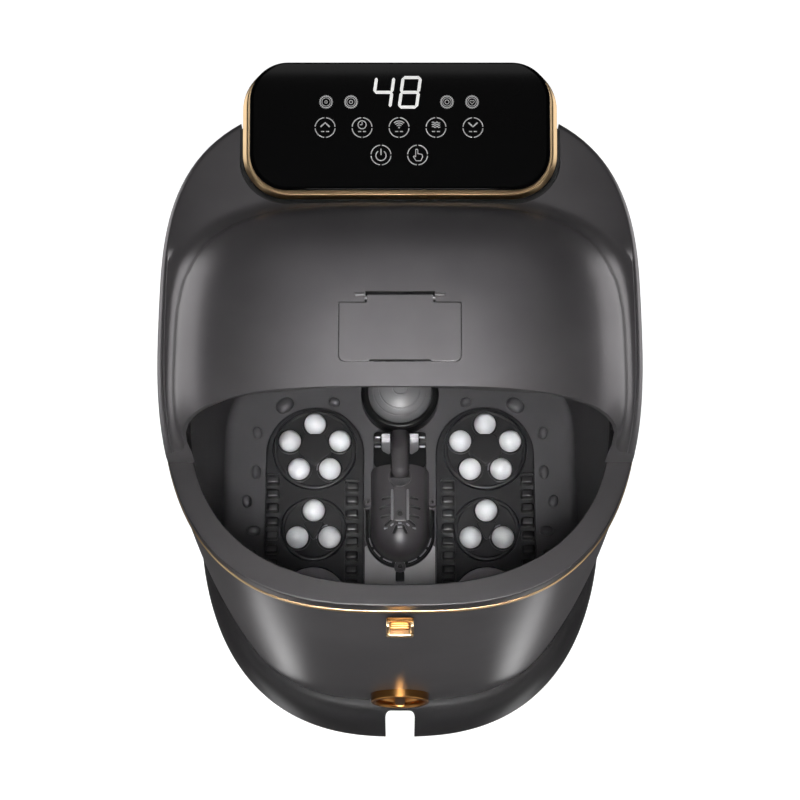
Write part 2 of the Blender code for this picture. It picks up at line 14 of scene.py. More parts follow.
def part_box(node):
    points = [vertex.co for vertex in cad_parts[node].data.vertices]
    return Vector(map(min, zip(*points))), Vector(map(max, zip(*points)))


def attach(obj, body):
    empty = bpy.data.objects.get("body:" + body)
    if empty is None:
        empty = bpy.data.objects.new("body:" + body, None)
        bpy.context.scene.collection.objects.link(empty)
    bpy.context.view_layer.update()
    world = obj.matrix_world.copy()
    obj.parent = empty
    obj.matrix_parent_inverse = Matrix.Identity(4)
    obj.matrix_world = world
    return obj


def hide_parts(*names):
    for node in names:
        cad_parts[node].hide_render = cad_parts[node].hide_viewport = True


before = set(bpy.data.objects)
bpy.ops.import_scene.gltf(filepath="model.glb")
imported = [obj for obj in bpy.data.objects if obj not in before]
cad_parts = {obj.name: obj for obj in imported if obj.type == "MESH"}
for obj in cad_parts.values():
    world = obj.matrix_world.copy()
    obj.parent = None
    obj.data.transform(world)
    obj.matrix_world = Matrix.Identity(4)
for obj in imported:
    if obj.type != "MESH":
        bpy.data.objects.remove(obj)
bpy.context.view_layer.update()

MM = 0.001
SIDES = (("left", -1), ("right", 1))
OUTLINE_POINTS = 288           # points round the large plan outlines
WALL = 3.0                     # moulded wall thickness
GAP = 0.3                      # clearance between neighbouring mouldings


def extent(node):
    """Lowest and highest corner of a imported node, in millimetres."""
    low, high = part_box(node)
    return Vector(low) / MM, Vector(high) / MM


def middle_of(node):
    low, high = extent(node)
    return (low + high) / 2


def half_width(node):
    low, high = extent(node)
    return (high.x - low.x) / 2


# ---------------------------------------------------------------- driving dimensions
SKIRT_LOW, SKIRT_HIGH = extent("base_skirt")
SHELL_LOW, SHELL_HIGH = extent("outer_shell")
RIM_LOW, RIM_HIGH = extent("rim_ring")
TRIM_LOW, TRIM_HIGH = extent("gold_trim_band")
TUB_LOW, TUB_HIGH = extent("inner_tub")
COVER_LOW, COVER_HIGH = extent("half_cover")
HATCH_LOW, HATCH_HIGH = extent("hatch_door")
FLOOR_Z = TUB_LOW.z + WALL     # top face of the tub's floor

# Plan outlines: two half superellipses that meet the straight sides at their centres
BASE = dict(half=SKIRT_HIGH.x, front=SKIRT_LOW.y, rear=SKIRT_HIGH.y, centres=(0, 0), powers=(2.5, 2.5))
SEAM = dict(half=164.6, front=-214.0, rear=214.0, centres=(0, 0), powers=(2.9, 2.9))
RIM = dict(half=RIM_HIGH.x, front=RIM_LOW.y, rear=RIM_HIGH.y, centres=(28, 28), powers=(2.9, 2.9))
TUB = dict(half=TUB_HIGH.x - WALL, front=TUB_LOW.y + WALL, rear=TUB_HIGH.y - WALL,
           centres=(-47, 10), powers=(2.5, 3.0))
DOME = dict(half=172.0, front=-131.0, rear=106.0, centres=(-20, -20), powers=(3.4, 3.4))

SKIRT_ROUND = 2.4              # superellipse power of the skirt's flare
BULGE = 5.0                    # swell of the barrel at mid height
DOME_BASE, DOME_POWERS = 396.0, (3.4, 2.4)
LEAN = 36.0 / 44.0             # how far the cover's front edge leans back for each mm of height
COVER_FRONT = -93.5            # foot of the dome's front edge
SLOT_WIDTH, SLOT_BACK = 26.0, -222.0   # hose slot through the skirt's flare
LIP = 2.4                      # thickness of the cover's front lip
DECK_INSET, DECK_TOP = 5.5, 394.6      # plan width of the shoulder's rounded edge, and its height
EVEN_WIDTH = 150.0             # width at which the dome's section points are evenly spaced
EDGE_ROWS, BLEND_ROWS, DOME_ROWS = 9, 12, 40   # points along the cover's section, rim to crest

PIN_RADIUS = 1.2
HINGE_Y = middle_of("hatch_pin").y
HINGE_Z = extent("hatch_pin")[0].z + PIN_RADIUS
HATCH_SHOULDER = HINGE_Y - 4.9  # where the hatch narrows to the tab between its lugs
PANEL_TILT = 15.0              # degrees
PANEL_HALF, PANEL_LONG, PANEL_ROUND = 118.0, 102.0, 30.0
PANEL_FRONT_Y, PANEL_FRONT_Z = 120.2, 402.0
KEY_RADIUS, KEY_PITCH = 7.8, 29.0
KEY_Y, LOWER_KEY_Y, BADGE_Y, DIGIT_Y = 49.7, 27.8, 70.1, 66.0     # up the panel from its front edge
BALL_RADIUS, POCKET_RADIUS = 10.0, 10.5
SHAFT_HOLE = 6.6               # radius of the holes for the disc shafts in the tub's floor
PIPE_Z = 103.6                 # axis of the supply pipe
TUB_LIGHT = 0.70               # watts of the light aimed into the basin


# ---------------------------------------------------------------- outlines
def signed_power(values, power):
    return np.sign(values) * np.abs(values) ** power


def spread(points, count, closed=True):
    """The same line with count points at even distances."""
    line = np.vstack((points, points[:1])) if closed else np.asarray(points, float)
    steps = np.linalg.norm(np.diff(line, axis=0), axis=1)
    run = np.concatenate(([0.0], np.cumsum(steps)))
    at = np.linspace(0.0, run[-1], count, endpoint=not closed)
    return np.column_stack([np.interp(at, run, line[:, k]) for k in range(line.shape[1])])


def grown(outline, distance):
    """Moves a counter-clockwise outline outwards along its normals."""
    if abs(distance) < 1e-9:
        return outline
    along = np.roll(outline, -1, axis=0) - np.roll(outline, 1, axis=0)
    along /= np.linalg.norm(along, axis=1)[:, None]
    return outline + distance * np.column_stack((along[:, 1], -along[:, 0]))


def oval(half, front, rear, centres, powers, grow=0.0, count=OUTLINE_POINTS):
    angle = np.linspace(-math.pi / 2, 1.5 * math.pi, 16 * count, endpoint=False)
    behind = np.sin(angle) > 0
    power = np.where(behind, powers[1], powers[0])
    centre = np.where(behind, centres[1], centres[0])
    depth = np.where(behind, rear - centre, centre - front)
    points = np.column_stack((half * signed_power(np.cos(angle), 2 / power),
                              centre + depth * signed_power(np.sin(angle), 2 / power)))
    return grown(spread(points, count), grow)


def circle(radius, x=0.0, y=0.0, sides=64):
    angle = 2 * math.pi * np.arange(sides) / sides
    return np.column_stack((x + radius * np.cos(angle), y + radius * np.sin(angle)))


def stadium(half, front, rear, x=0.0, steps=20):
    """Outline with parallel sides and two round ends."""
    rear_end = np.linspace(0, math.pi, steps + 1)
    front_end = rear_end + math.pi
    return np.vstack((
        np.column_stack((x + half * np.cos(rear_end), rear - half + half * np.sin(rear_end))),
        np.column_stack((x + half * np.cos(front_end), front + half + half * np.sin(front_end)))))


def round_rect(low, high, radius, steps=8):
    """Rectangle with round corners, counter-clockwise; radius is one number or one per corner,
    from the front left one."""
    radii = radius if isinstance(radius, (tuple, list)) else (radius,) * 4
    corners = ((low[0], low[1], 180), (high[0], low[1], 270), (high[0], high[1], 0),
               (low[0], high[1], 90))
    points = []
    for (cx, cy, start), r in zip(corners, radii):
        inward_x = r if cx == low[0] else -r
        inward_y = r if cy == low[1] else -r
        for step in range(steps + 1):
            angle = math.radians(start + 90 * step / steps)
            points.append((cx + inward_x + r * math.cos(angle), cy + inward_y + r * math.sin(angle)))
    return np.array(points)


def rounded(corners, closed=True, steps=5):
    """Rounds a profile's corners: each corner is (across, height, radius)."""
    result = []
    count = len(corners)
    for i, (a, z, radius) in enumerate(corners):
        here = np.array((a, z))
        if radius <= 0 or (not closed and i in (0, count - 1)):
            result.append((a, z))
            continue
        back = np.array(corners[i - 1][:2]) - here
        ahead = np.array(corners[(i + 1) % count][:2]) - here
        reach_back, reach_ahead = np.linalg.norm(back), np.linalg.norm(ahead)
        back, ahead = back / reach_back, ahead / reach_ahead
        half_angle = math.acos(max(-1.0, min(1.0, float(back @ ahead)))) / 2
        reach = min(radius / math.tan(half_angle), 0.48 * reach_back, 0.48 * reach_ahead)
        for step in range(steps + 1):
            s = step / steps
            point = here + (1 - s) ** 2 * reach * back + s ** 2 * reach * ahead
            result.append((float(point[0]), float(point[1])))
    return result


# ---------------------------------------------------------------- meshes
def lift(outline, z):
    return np.column_stack((outline, np.full(len(outline), z) if np.isscalar(z) else z))


def skin(rows, loop=False):
    """Quads between equal rings of points; loop joins the last ring to the first, else both
    ends are closed with a fan. Returns (points, faces)."""
    count = len(rows[0])
    points = np.vstack(rows)
    pairs = list(zip(range(len(rows)), range(1, len(rows))))
    if loop:
        pairs.append((len(rows) - 1, 0))
    faces = []
    for low, high in pairs:
        for i in range(count):
            j = (i + 1) % count
            faces.append((low * count + i, low * count + j, high * count + j, high * count + i))
    if not loop:
        for row, flip in ((0, True), (len(rows) - 1, False)):
            middle = len(points)
            points = np.vstack((points, rows[row].mean(axis=0)))
            for i in range(count):
                first, second = row * count + i, row * count + (i + 1) % count
                faces.append((second, first, middle) if flip else (first, second, middle))
    return points, faces


def ring_body(outline_at, corners, steps=5):
    """A ring whose section is a rounded profile; outline_at(across, height) gives its plan."""
    rows = [lift(outline_at(a, z), z) for a, z in rounded(corners, steps=steps)]
    return skin(rows, loop=True)


def prism(outline, low, high, edge=0.0, steps=4):
    """An upright solid with an edge radius round its top and bottom."""
    corners = [(0.0, low), (0.0, high)]
    if edge > 0:
        corners = rounded([(-4 * edge, low, 0), (0.0, low, edge), (0.0, high, edge),
                           (-4 * edge, high, 0)], closed=False, steps=steps)[1:-1]
        corners = [(-1.5 * edge, low), *corners, (-1.5 * edge, high)]
    return skin([lift(grown(outline, a), z) for a, z in corners])


def turned(corners, x=0.0, y=0.0, sides=64, steps=5):
    """Solid of revolution about a vertical axis from (radius, height, rounding), upwards."""
    rows = [lift(circle(max(r, 0.02), x, y, sides), z) for r, z in rounded(corners, False, steps)]
    return skin(rows)


def turned_ring(corners, x=0.0, y=0.0, sides=64, steps=5):
    rows = [lift(circle(r, x, y, sides), z) for r, z in rounded(corners, True, steps)]
    return skin(rows, loop=True)


def soft_block(centre, size, power=0.35, across=24, up=14):
    """Superellipsoid: a block with soft edges when power is small, an ellipsoid when it is 1."""
    rows = []
    for k in range(1, up):
        lift_angle = -math.pi / 2 + math.pi * k / up
        turn = 2 * math.pi * np.arange(across) / across
        level = signed_power(np.cos(lift_angle), power)
        rows.append(np.column_stack((
            centre[0] + size[0] / 2 * level * signed_power(np.cos(turn), power),
            centre[1] + size[1] / 2 * level * signed_power(np.sin(turn), power),
            np.full(across, centre[2] + size[2] / 2 * signed_power(np.sin(lift_angle), power)))))
    return skin(rows)


def sphere(centre, radius, across=48, up=32):
    return soft_block(centre, (2 * radius,) * 3, 1.0, across, up)


def box_solid(low, high):
    outline = np.array(((low[0], low[1]), (high[0], low[1]), (high[0], high[1]), (low[0], high[1])))
    return prism(outline, low[2], high[2])


def put(part, x=0.0, y=0.0, z=0.0, turn=0.0, axis="Z"):
    """Turns a (points, faces) pair by so many degrees about an axis, then moves it."""
    points, faces = part
    grid = np.array(Matrix.Translation((x, y, z)) @ Matrix.Rotation(math.radians(turn), 4, axis))
    return points @ grid[:3, :3].T + grid[:3, 3], faces


def along_y(part, z):
    """Lays an upright part down so that its height runs towards -Y."""
    return put(part, z=z, turn=90, axis="X")


def along_x(part, y, z):
    return put(part, y=y, z=z, turn=90, axis="Y")


def solid(name, *parts, sharp=32.0):
    """One object from closed parts, smooth except at edges sharper than the given angle."""
    points, faces, start = [], [], 0
    for part_points, part_faces in parts:
        points.append(part_points)
        faces += [tuple(i + start for i in face) for face in part_faces]
        start += len(part_points)
    mesh = bpy.data.meshes.new(name)
    mesh.from_pydata((np.vstack(points) * MM).tolist(), [], faces)
    builder = bmesh.new()
    builder.from_mesh(mesh)
    bmesh.ops.remove_doubles(builder, verts=builder.verts, dist=1e-7)
    bmesh.ops.dissolve_degenerate(builder, edges=builder.edges, dist=1e-8)
    bmesh.ops.recalc_face_normals(builder, faces=builder.faces)
    builder.to_mesh(mesh)
    builder.free()
    item = bpy.data.objects.new(name, mesh)
    bpy.context.scene.collection.objects.link(item)
    smooth(item, sharp)
    return item


def smooth(item, sharp=32.0):
    item.data.shade_smooth()
    item.data.set_sharp_from_angle(angle=math.radians(sharp))


def settle(item, sharp=32.0):
    """Applies the item's modifiers."""
    depsgraph = bpy.context.evaluated_depsgraph_get()
    mesh = bpy.data.meshes.new_from_object(item.evaluated_get(depsgraph))
    old = item.data
    item.modifiers.clear()
    item.data = mesh
    bpy.data.meshes.remove(old)
    mesh.name = item.name
    smooth(item, sharp)


def combine(item, other, operation, sharp=32.0):
    """Boolean of two objects; the second one is used up."""
    modifier = item.modifiers.new("combine", "BOOLEAN")
    modifier.operation = operation
    modifier.solver = "EXACT"
    modifier.object = other
    settle(item, sharp)
    bpy.data.objects.remove(other)


def carve(item, *parts, operation="DIFFERENCE", sharp=32.0):
    combine(item, solid(item.name + "_cutter", *parts), operation, sharp)


def place(item, body, nodes, material):
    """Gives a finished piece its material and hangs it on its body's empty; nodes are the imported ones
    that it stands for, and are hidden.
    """
    item.data.materials.clear()
    item.data.materials.append(material)
    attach(item, body)
    if nodes:
        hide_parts(*nodes)


# ---------------------------------------------------------------- materials
def plastic(name, colour, rough, metal=0.0, grain=1500.0, relief=0.06, shade=0.10, coat=0.0,
            specular=0.5, emission=0.0):
    """Moulded surface: fine grain in the relief, slow change in colour and in roughness."""
    material = bpy.data.materials.new(name)
    material.use_nodes = True
    nodes, links = material.node_tree.nodes, material.node_tree.links
    shader = nodes["Principled BSDF"]
    place_node = nodes.new("ShaderNodeTexCoord")

    def noise(scale, detail):
        node = nodes.new("ShaderNodeTexNoise")
        node.inputs["Scale"].default_value = scale
        node.inputs["Detail"].default_value = detail
        links.new(place_node.outputs["Object"], node.inputs["Vector"])
        return node

    slow, fine = noise(14.0, 3.0), noise(grain, 2.0)
    ramp = nodes.new("ShaderNodeValToRGB")
    for stop, factor in zip(ramp.color_ramp.elements, (1 - shade, 1 + shade)):
        stop.color = tuple(min(1.0, c * factor) for c in colour) + (1.0,)
    ramp.color_ramp.elements[0].position, ramp.color_ramp.elements[1].position = 0.3, 0.7
    links.new(slow.outputs["Fac"], ramp.inputs["Fac"])
    links.new(ramp.outputs["Color"], shader.inputs["Base Color"])
    if emission:
        links.new(ramp.outputs["Color"], shader.inputs["Emission Color"])
        shader.inputs["Emission Strength"].default_value = emission
    span = nodes.new("ShaderNodeMapRange")
    span.inputs["To Min"].default_value = rough - 0.03
    span.inputs["To Max"].default_value = rough + 0.03
    links.new(fine.outputs["Fac"], span.inputs["Value"])
    links.new(span.outputs["Result"], shader.inputs["Roughness"])
    bump = nodes.new("ShaderNodeBump")
    bump.inputs["Strength"].default_value = relief
    bump.inputs["Distance"].default_value = 0.0002
    links.new(fine.outputs["Fac"], bump.inputs["Height"])
    links.new(bump.outputs["Normal"], shader.inputs["Normal"])
    shader.inputs["Metallic"].default_value = metal
    shader.inputs["Specular IOR Level"].default_value = specular
    shader.inputs["Coat Weight"].default_value = coat
    shader.inputs["Coat Roughness"].default_value = 0.12
    return material


GUNMETAL = plastic("gunmetal_paint", (0.158, 0.151, 0.156), 0.33, 0.75, relief=0.05)
RIM_PAINT = plastic("rim_paint", (0.048, 0.045, 0.047), 0.42, 0.55, relief=0.05)
SKIRT_PAINT = plastic("skirt_paint", (0.026, 0.025, 0.026), 0.46, 0.3, relief=0.06, specular=0.25)
TUB_PLASTIC = plastic("tub_plastic", (0.075, 0.072, 0.076), 0.42, 0.1, relief=0.08)
PLATE_PLASTIC = plastic("plate_plastic", (0.020, 0.0195, 0.0205), 0.38, relief=0.05)
CAGE_PLASTIC = plastic("cage_plastic", (0.062, 0.057, 0.060), 0.38, relief=0.06)
LUG_METAL = plastic("lug_metal", (0.20, 0.195, 0.20), 0.4, 0.5, relief=0.04)
LENS = plastic("lamp_lens", (0.20, 0.195, 0.202), 0.46, 0.3, relief=0.05)
HEEL = plastic("heel_satin", (0.50, 0.47, 0.51), 0.32, 0.3, relief=0.05)
BLACK_PLASTIC = plastic("black_plastic", (0.004, 0.004, 0.004), 0.35, relief=0.05)
GLASS = plastic("panel_glass", (0.0015, 0.0015, 0.0017), 0.05, relief=0.0, specular=0.06)
PRINT = plastic("panel_print", (0.50, 0.50, 0.50), 0.5, relief=0.02, emission=0.40)
DISPLAY = plastic("panel_display", (0.85, 0.85, 0.83), 0.5, relief=0.02, emission=0.65)
GOLD = plastic("gold_plate", (0.58, 0.41, 0.23), 0.30, 1.0, relief=0.04)
# darker copy of the gold: painted shade on the clasp's recessed back and ridges; also the drain knob's
# darker gold
DARK_GOLD = plastic("dark_gold_and_recess_shade", (0.36, 0.17, 0.05), 0.30, 1.0, relief=0.04)
BALL = plastic("ball_plastic", (0.80, 0.80, 0.82), 0.38, relief=0.02, shade=0.03)
SILVER = plastic("lamp_silver", (0.42, 0.41, 0.43), 0.30, 0.8, relief=0.04)
HEATER = plastic("heater_plate", (0.50, 0.485, 0.50), 0.40, 0.3, grain=700.0, relief=0.06)
STEEL = plastic("steel", (0.55, 0.55, 0.57), 0.32, 1.0, grain=900.0, relief=0.08)
NYLON = plastic("gear_nylon", (0.72, 0.70, 0.64), 0.45, relief=0.05)
RUBBER = plastic("foot_rubber", (0.012, 0.012, 0.012), 0.7, grain=2500.0, relief=0.3)


# ---------------------------------------------------------------- base and barrel
def skirt_plan(across, z):
    rise = min(1.0, max(0.0, (z - SKIRT_LOW.z) / (SKIRT_HIGH.z - SKIRT_LOW.z)))
    share = 1 - (1 - rise ** SKIRT_ROUND) ** (1 / SKIRT_ROUND)
    outline = oval(**BASE) * (1 - share) + oval(**SEAM) * share
    return grown(outline, across)


def shell_plan(across, z):
    share = (z - SHELL_LOW.z) / (SHELL_HIGH.z - SHELL_LOW.z)
    swell = BULGE * (1 - (2 * share - 1) ** 2)
    outline = oval(**SEAM, grow=swell) * (1 - share) + oval(**RIM, grow=swell - 2.0) * share
    return grown(outline, across)


def make_skirt():
    low, high = SKIRT_LOW.z, SKIRT_HIGH.z
    rise = high - low
    outside = [low + rise * math.sin(math.radians(90) * k / 20) for k in range(1, 20)]
    profile = [(-0.8, low), (-0.2, low + 0.2), (0.0, low + 0.8)]
    profile += [(0.0, z) for z in outside] + [(-0.2, high - 0.1), (-0.9, high)]
    inside = [(-WALL, z) for z in reversed(outside[:-4])]
    flange = -WALL - 12.0
    profile += [(flange, high), (flange, high - WALL)] + inside[1:] + [(-WALL, low)]
    rows = [lift(skirt_plan(a, z), z) for a, z in profile]
    skirt = solid("skirt_shell", skin(rows, loop=True))
    half = SLOT_WIDTH / 2
    arch = round_rect((-half, -260.0), (half, SLOT_BACK), (0.5, 0.5, 5.0, 5.0), 10)
    carve(skirt, prism(arch, -10.0, high + 10.0))
    place(skirt, "basin", ["base_skirt"], SKIRT_PAINT)


def make_barrel():
    low, high = SHELL_LOW.z, SHELL_HIGH.z
    heights = np.linspace(low, high, 30)
    profile = [(-2.0, low), (-0.6, low + 0.15), (0.0, low + 0.9)]
    profile += [(0.0, z) for z in heights[1:-1]]
    profile += [(-0.2, high - 0.3), (-0.8, high), (-WALL, high)]
    profile += [(-WALL, z) for z in heights[-2::-3]]
    rows = [lift(shell_plan(a, z), z) for a, z in profile]
    barrel = solid("barrel_shell", skin(rows, loop=True))
    knob_hole, inlet_hole = circle(half_width("drain_bezel") + 0.4), circle(9.6)
    carve(barrel, along_y(prism(knob_hole, 180.0, 250.0), middle_of("drain_bezel").z),
          along_y(prism(inlet_hole, -250.0, -190.0), middle_of("power_inlet").z))
    place(barrel, "basin", ["outer_shell"], GUNMETAL)


def make_rim():
    low, high = RIM_LOW.z, RIM_HIGH.z
    tub_side = -100.0              # a distance near this one is counted from the tub's wall

    def plan(across, z):
        if across >= -6.0:
            return oval(**RIM, grow=across)
        return grown(oval(**TUB, grow=-1.0), across - tub_side)

    corners = [(0, low, 0.6), (0, high, 1.6), (-5.9, high, 0.0), (tub_side + 3.0, high, 0.0),
               (tub_side, high, 1.4), (tub_side, low, 0.4)]
    place(solid("rim_shell", ring_body(plan, corners, 8)), "basin", ["rim_ring"], RIM_PAINT)


def make_trim():
    low, high = TRIM_LOW.z, TRIM_HIGH.z
    corners = [(-4.0, low, 0.3), (1.0, low, 2.0), (1.0, high, 2.0), (-4.0, high, 0.3)]
    trim = solid("trim_band", ring_body(lambda a, z: oval(**RIM, grow=a), corners))
    place(trim, "basin", ["gold_trim_band"], GOLD)


# ---------------------------------------------------------------- tub
# Massage nubs of the left half: x, y, length, width and turn in degrees
NUBS = ((-107, 59, 18, 14, 35), (-61, 62, 11, 9, -20), (-132, 32, 9, 12, 15), (-132, -6, 9, 13, 0),
        (-140, -34, 9, 12, 10), (-133, -62, 13, 9, 0), (-135, -83, 11, 7, 0))


def make_tub():
    top, floor = TUB_HIGH.z, FLOOR_Z
    profile = [(1.2, TUB_LOW.z, 1.0), (WALL, TUB_LOW.z + 36.0, 0.0), (WALL, top, 0.5), (0, top, 0.5),
               (0, floor, 9.0), (-30.0, floor, 0.0)]
    rows = [lift(oval(**TUB, grow=a), z) for a, z in rounded(profile, closed=False, steps=7)]
    tub = solid("tub_shell", skin(rows))
    bumps = []
    for x, y, long, wide, turn in NUBS:
        bump = soft_block((0, 0, 0), (long, wide, 11.0), 0.9, 28, 14)
        bumps += [put(bump, side * x, y, floor, side * turn) for side in (1, -1)]
    carve(tub, *bumps, operation="UNION")
    discs = [middle_of(f"{name}_disc_{side}") for side, _ in SIDES for name in ("arch", "mid")]
    holes = [prism(circle(SHAFT_HOLE, disc.x, disc.y, 32), 60.0, 90.0) for disc in discs]
    carve(tub, *holes)
    place(tub, "basin", ["inner_tub"], TUB_PLASTIC)


# ---------------------------------------------------------------- half cover
def width_at(shape, y):
    """Half width of an oval's front half at a given y."""
    depth = shape["centres"][0] - shape["front"]
    ratio = np.clip((shape["centres"][0] - y) / depth, 0.0, 1.0)
    power = shape["powers"][0]
    return shape["half"] * (1 - ratio ** power) ** (1 / power)


def reach_at(shape, angle, y0):
    """Distance from (0, y0) to the oval along a ray."""
    outline = oval(**shape, count=1440) - np.array((0, y0))
    bearing = np.unwrap(np.arctan2(outline[:, 1], outline[:, 0]))
    return np.interp(angle, bearing, np.linalg.norm(outline, axis=1))


def even(arc, count):
    """The section's points, (share of the width, height), at even distances."""
    scale = np.array((EVEN_WIDTH, 1.0))
    return spread(arc * scale, count, closed=False) / scale


def dome_arc(count):
    """The dome's section above its base."""
    turn = np.linspace(0, math.pi / 2, 600)
    share = np.cos(turn) ** (2 / DOME_POWERS[0])
    height = (COVER_HIGH.z - DOME_BASE) * np.sin(turn) ** (2 / DOME_POWERS[1])
    return even(np.column_stack((share, height)), count)


def cover_section(gap, hollow):
    """Closed section as rows of (rim factor, dome factor, inset, z, height that sets the lean);
    gap is the plan distance from the rim's outline to the dome's foot, hollow says whether the
    shoulder is open below."""
    bottom = COVER_LOW.z
    blend = min(20.0, gap - DECK_INSET - 1.0)
    rows = [(1, 0, 0, bottom + 0.01), (1, 0, 0, 378.0)]
    for s in np.linspace(0.0, 1.0, EDGE_ROWS):
        rows.append((1, 0, -DECK_INSET * s ** 2, 384.0 + 7.6 * (2 * s * (1 - s) + s ** 2)))
    arc = dome_arc(44)
    start = int(np.searchsorted(arc[:, 1], min(12.0, 0.8 * blend)))
    foot_share, foot_height = arc[start]
    for s in np.arange(BLEND_ROWS) / BLEND_ROWS:
        deck, control, dome = (1 - s) ** 2, 2 * s * (1 - s), s ** 2
        rows.append((0, deck + control + dome * foot_share, deck * blend,
                     (deck + control) * DECK_TOP + dome * (DOME_BASE + foot_height) + control * 0.8))
    rows += [(0, share, 0, DOME_BASE + height) for share, height in even(arc[start:], DOME_ROWS)]
    rows = [row + (row[3],) for row in rows]
    under = 1 - LIP / (COVER_HIGH.z - DOME_BASE)
    for share, height in dome_arc(26)[::-1]:
        rows.append((0, share, -LIP * share, DOME_BASE + height * under, DOME_BASE + height))
    roof = 388.0 if hollow else bottom + 0.02
    return rows + [row + (row[3],) for row in (
        (0, 1, -LIP, 385.0), (0, 1, -LIP, bottom), (0, 1, -0.2, bottom), (0, 1, -0.2, roof),
        (1, 0, -WALL - 4.0, roof), (1, 0, -WALL, min(roof, 382.0)), (1, 0, -WALL, bottom))]


def straight_ring(side, share, hollow):
    """Section of the cover's straight part: share runs from 0 at the dome's centre to 1 at the
    front edge, which leans back as it rises."""
    y0 = DOME["centres"][0]
    run = COVER_FRONT - y0
    gap = width_at(RIM, y0 + share * run) - width_at(DOME, y0 + share * run)
    ring = []
    for rim_factor, dome_factor, inset, z, lean_z in cover_section(gap, hollow):
        y = y0 + share * (run + LEAN * max(0.0, lean_z - DOME_BASE))
        x = rim_factor * width_at(RIM, y) + dome_factor * width_at(DOME, y) + inset
        ring.append((side * max(0.0, x), y, z))
    return ring


def rear_ring(bearing):
    """Section of the cover's round rear along a ray from the dome's centre."""
    y0 = DOME["centres"][0]
    rim_reach, dome_reach = reach_at(RIM, bearing, y0), reach_at(DOME, bearing, y0)
    ring = []
    for rim_factor, dome_factor, inset, z, _ in cover_section(rim_reach - dome_reach, True):
        run = rim_factor * rim_reach + dome_factor * dome_reach + inset
        ring.append((run * math.cos(bearing), y0 + run * math.sin(bearing), z))
    return ring


def make_cover_mesh():
    """Sections from the right end face round the rear to the left one; the end faces are solid,
    and no face joins the sections between the dome's crest and the point below it."""
    steps, rear_steps = 26, 96
    shares = [(1.0, False), (0.962, False), (0.96, True)]
    shares += [(0.94 * (1 - step / steps), True) for step in range(steps)]
    rings = [straight_ring(1, *share) for share in shares]
    rings += [rear_ring(math.pi * step / rear_steps) for step in range(1, rear_steps)]
    rings += [straight_ring(-1, *share) for share in reversed(shares)]
    count, crest = len(rings[0]), 1 + EDGE_ROWS + BLEND_ROWS + DOME_ROWS
    last = count * (len(rings) - 1)
    faces = []
    for row in range(0, last, count):
        for i in range(count):
            j = (i + 1) % count
            if i != crest:
                faces.append((row + i, row + j, row + count + j, row + count + i))
    faces += [tuple(range(count)), tuple(range(last, last + count))]
    return np.vstack(rings), faces


def notch_outline(grow):
    half, front, radius = 127.0 + grow, 111.0 - grow, 40.0 + grow
    return round_rect((-half, front), (half, 320.0), (radius, radius, 0.5, 0.5), 16)


def hatch_outline(grow, tab, rear):
    """Plate with two round front corners, and a narrower tab at the rear between the hinge lugs."""
    half, front, shoulder = HATCH_HIGH.x + grow, HATCH_LOW.y - grow, HATCH_SHOULDER + grow
    right = [(half, front, 6.0), (half, shoulder, 1.0), (tab, shoulder, 1.0), (tab, rear, 1.0)]
    left = [(-x, y, radius) for x, y, radius in reversed(right)]
    return np.array(rounded(right + left, steps=8))


def make_cover():
    cover = solid("cover_shell", make_cover_mesh(), sharp=40.0)
    carve(cover, prism(notch_outline(0.0), 350.0, 460.0), sharp=40.0)
    carve(cover, prism(hatch_outline(0.4, 26.3, HINGE_Y + 4.2), 425.0, 460.0), sharp=40.0)
    place(cover, "cover", ["half_cover"], GUNMETAL)
    pin = turned([(PIN_RADIUS, -36.0, 0), (PIN_RADIUS, 36.0, 0)], sides=24)
    place(solid("hinge_pin", along_x(pin, HINGE_Y, HINGE_Z)), "cover", ["hatch_pin"], STEEL)
    lugs = []
    for start in (-34.0, 25.8):
        end = start + 8.2
        lug = turned([(0.3, start, 0), (1.9, start, 0.8), (1.9, end, 0.8), (0.3, end, 0)], sides=32)
        lugs.append(along_x(lug, HINGE_Y + 1.6, COVER_HIGH.z - 1.4))
    place(solid("hinge_lugs", *lugs), "cover", [], LUG_METAL)


def make_hatch():
    top = COVER_HIGH.z - 0.15
    outline = hatch_outline(0.0, 24.8, HINGE_Y + 1.5)
    hatch = solid("hatch_plate", prism(outline, top - 2.6, top, 0.5, 4))
    edge = HATCH_LOW.y
    finger_slot = round_rect((-23.0, edge - 4.0), (23.0, edge + 1.5), (0.5, 0.5, 1.4, 1.4), 6)
    carve(hatch, prism(finger_slot, 425.0, 450.0))
    place(hatch, "hatch", ["hatch_door"], GUNMETAL)


# ---------------------------------------------------------------- control panel
def tilted(part):
    return put(part, y=PANEL_FRONT_Y, z=PANEL_FRONT_Z, turn=PANEL_TILT, axis="X")


def panel_outline(grow, rear_grow=None):
    rear = PANEL_LONG + (grow if rear_grow is None else rear_grow)
    return round_rect((-PANEL_HALF - grow, -grow), (PANEL_HALF + grow, rear),
                      PANEL_ROUND + grow, 18)


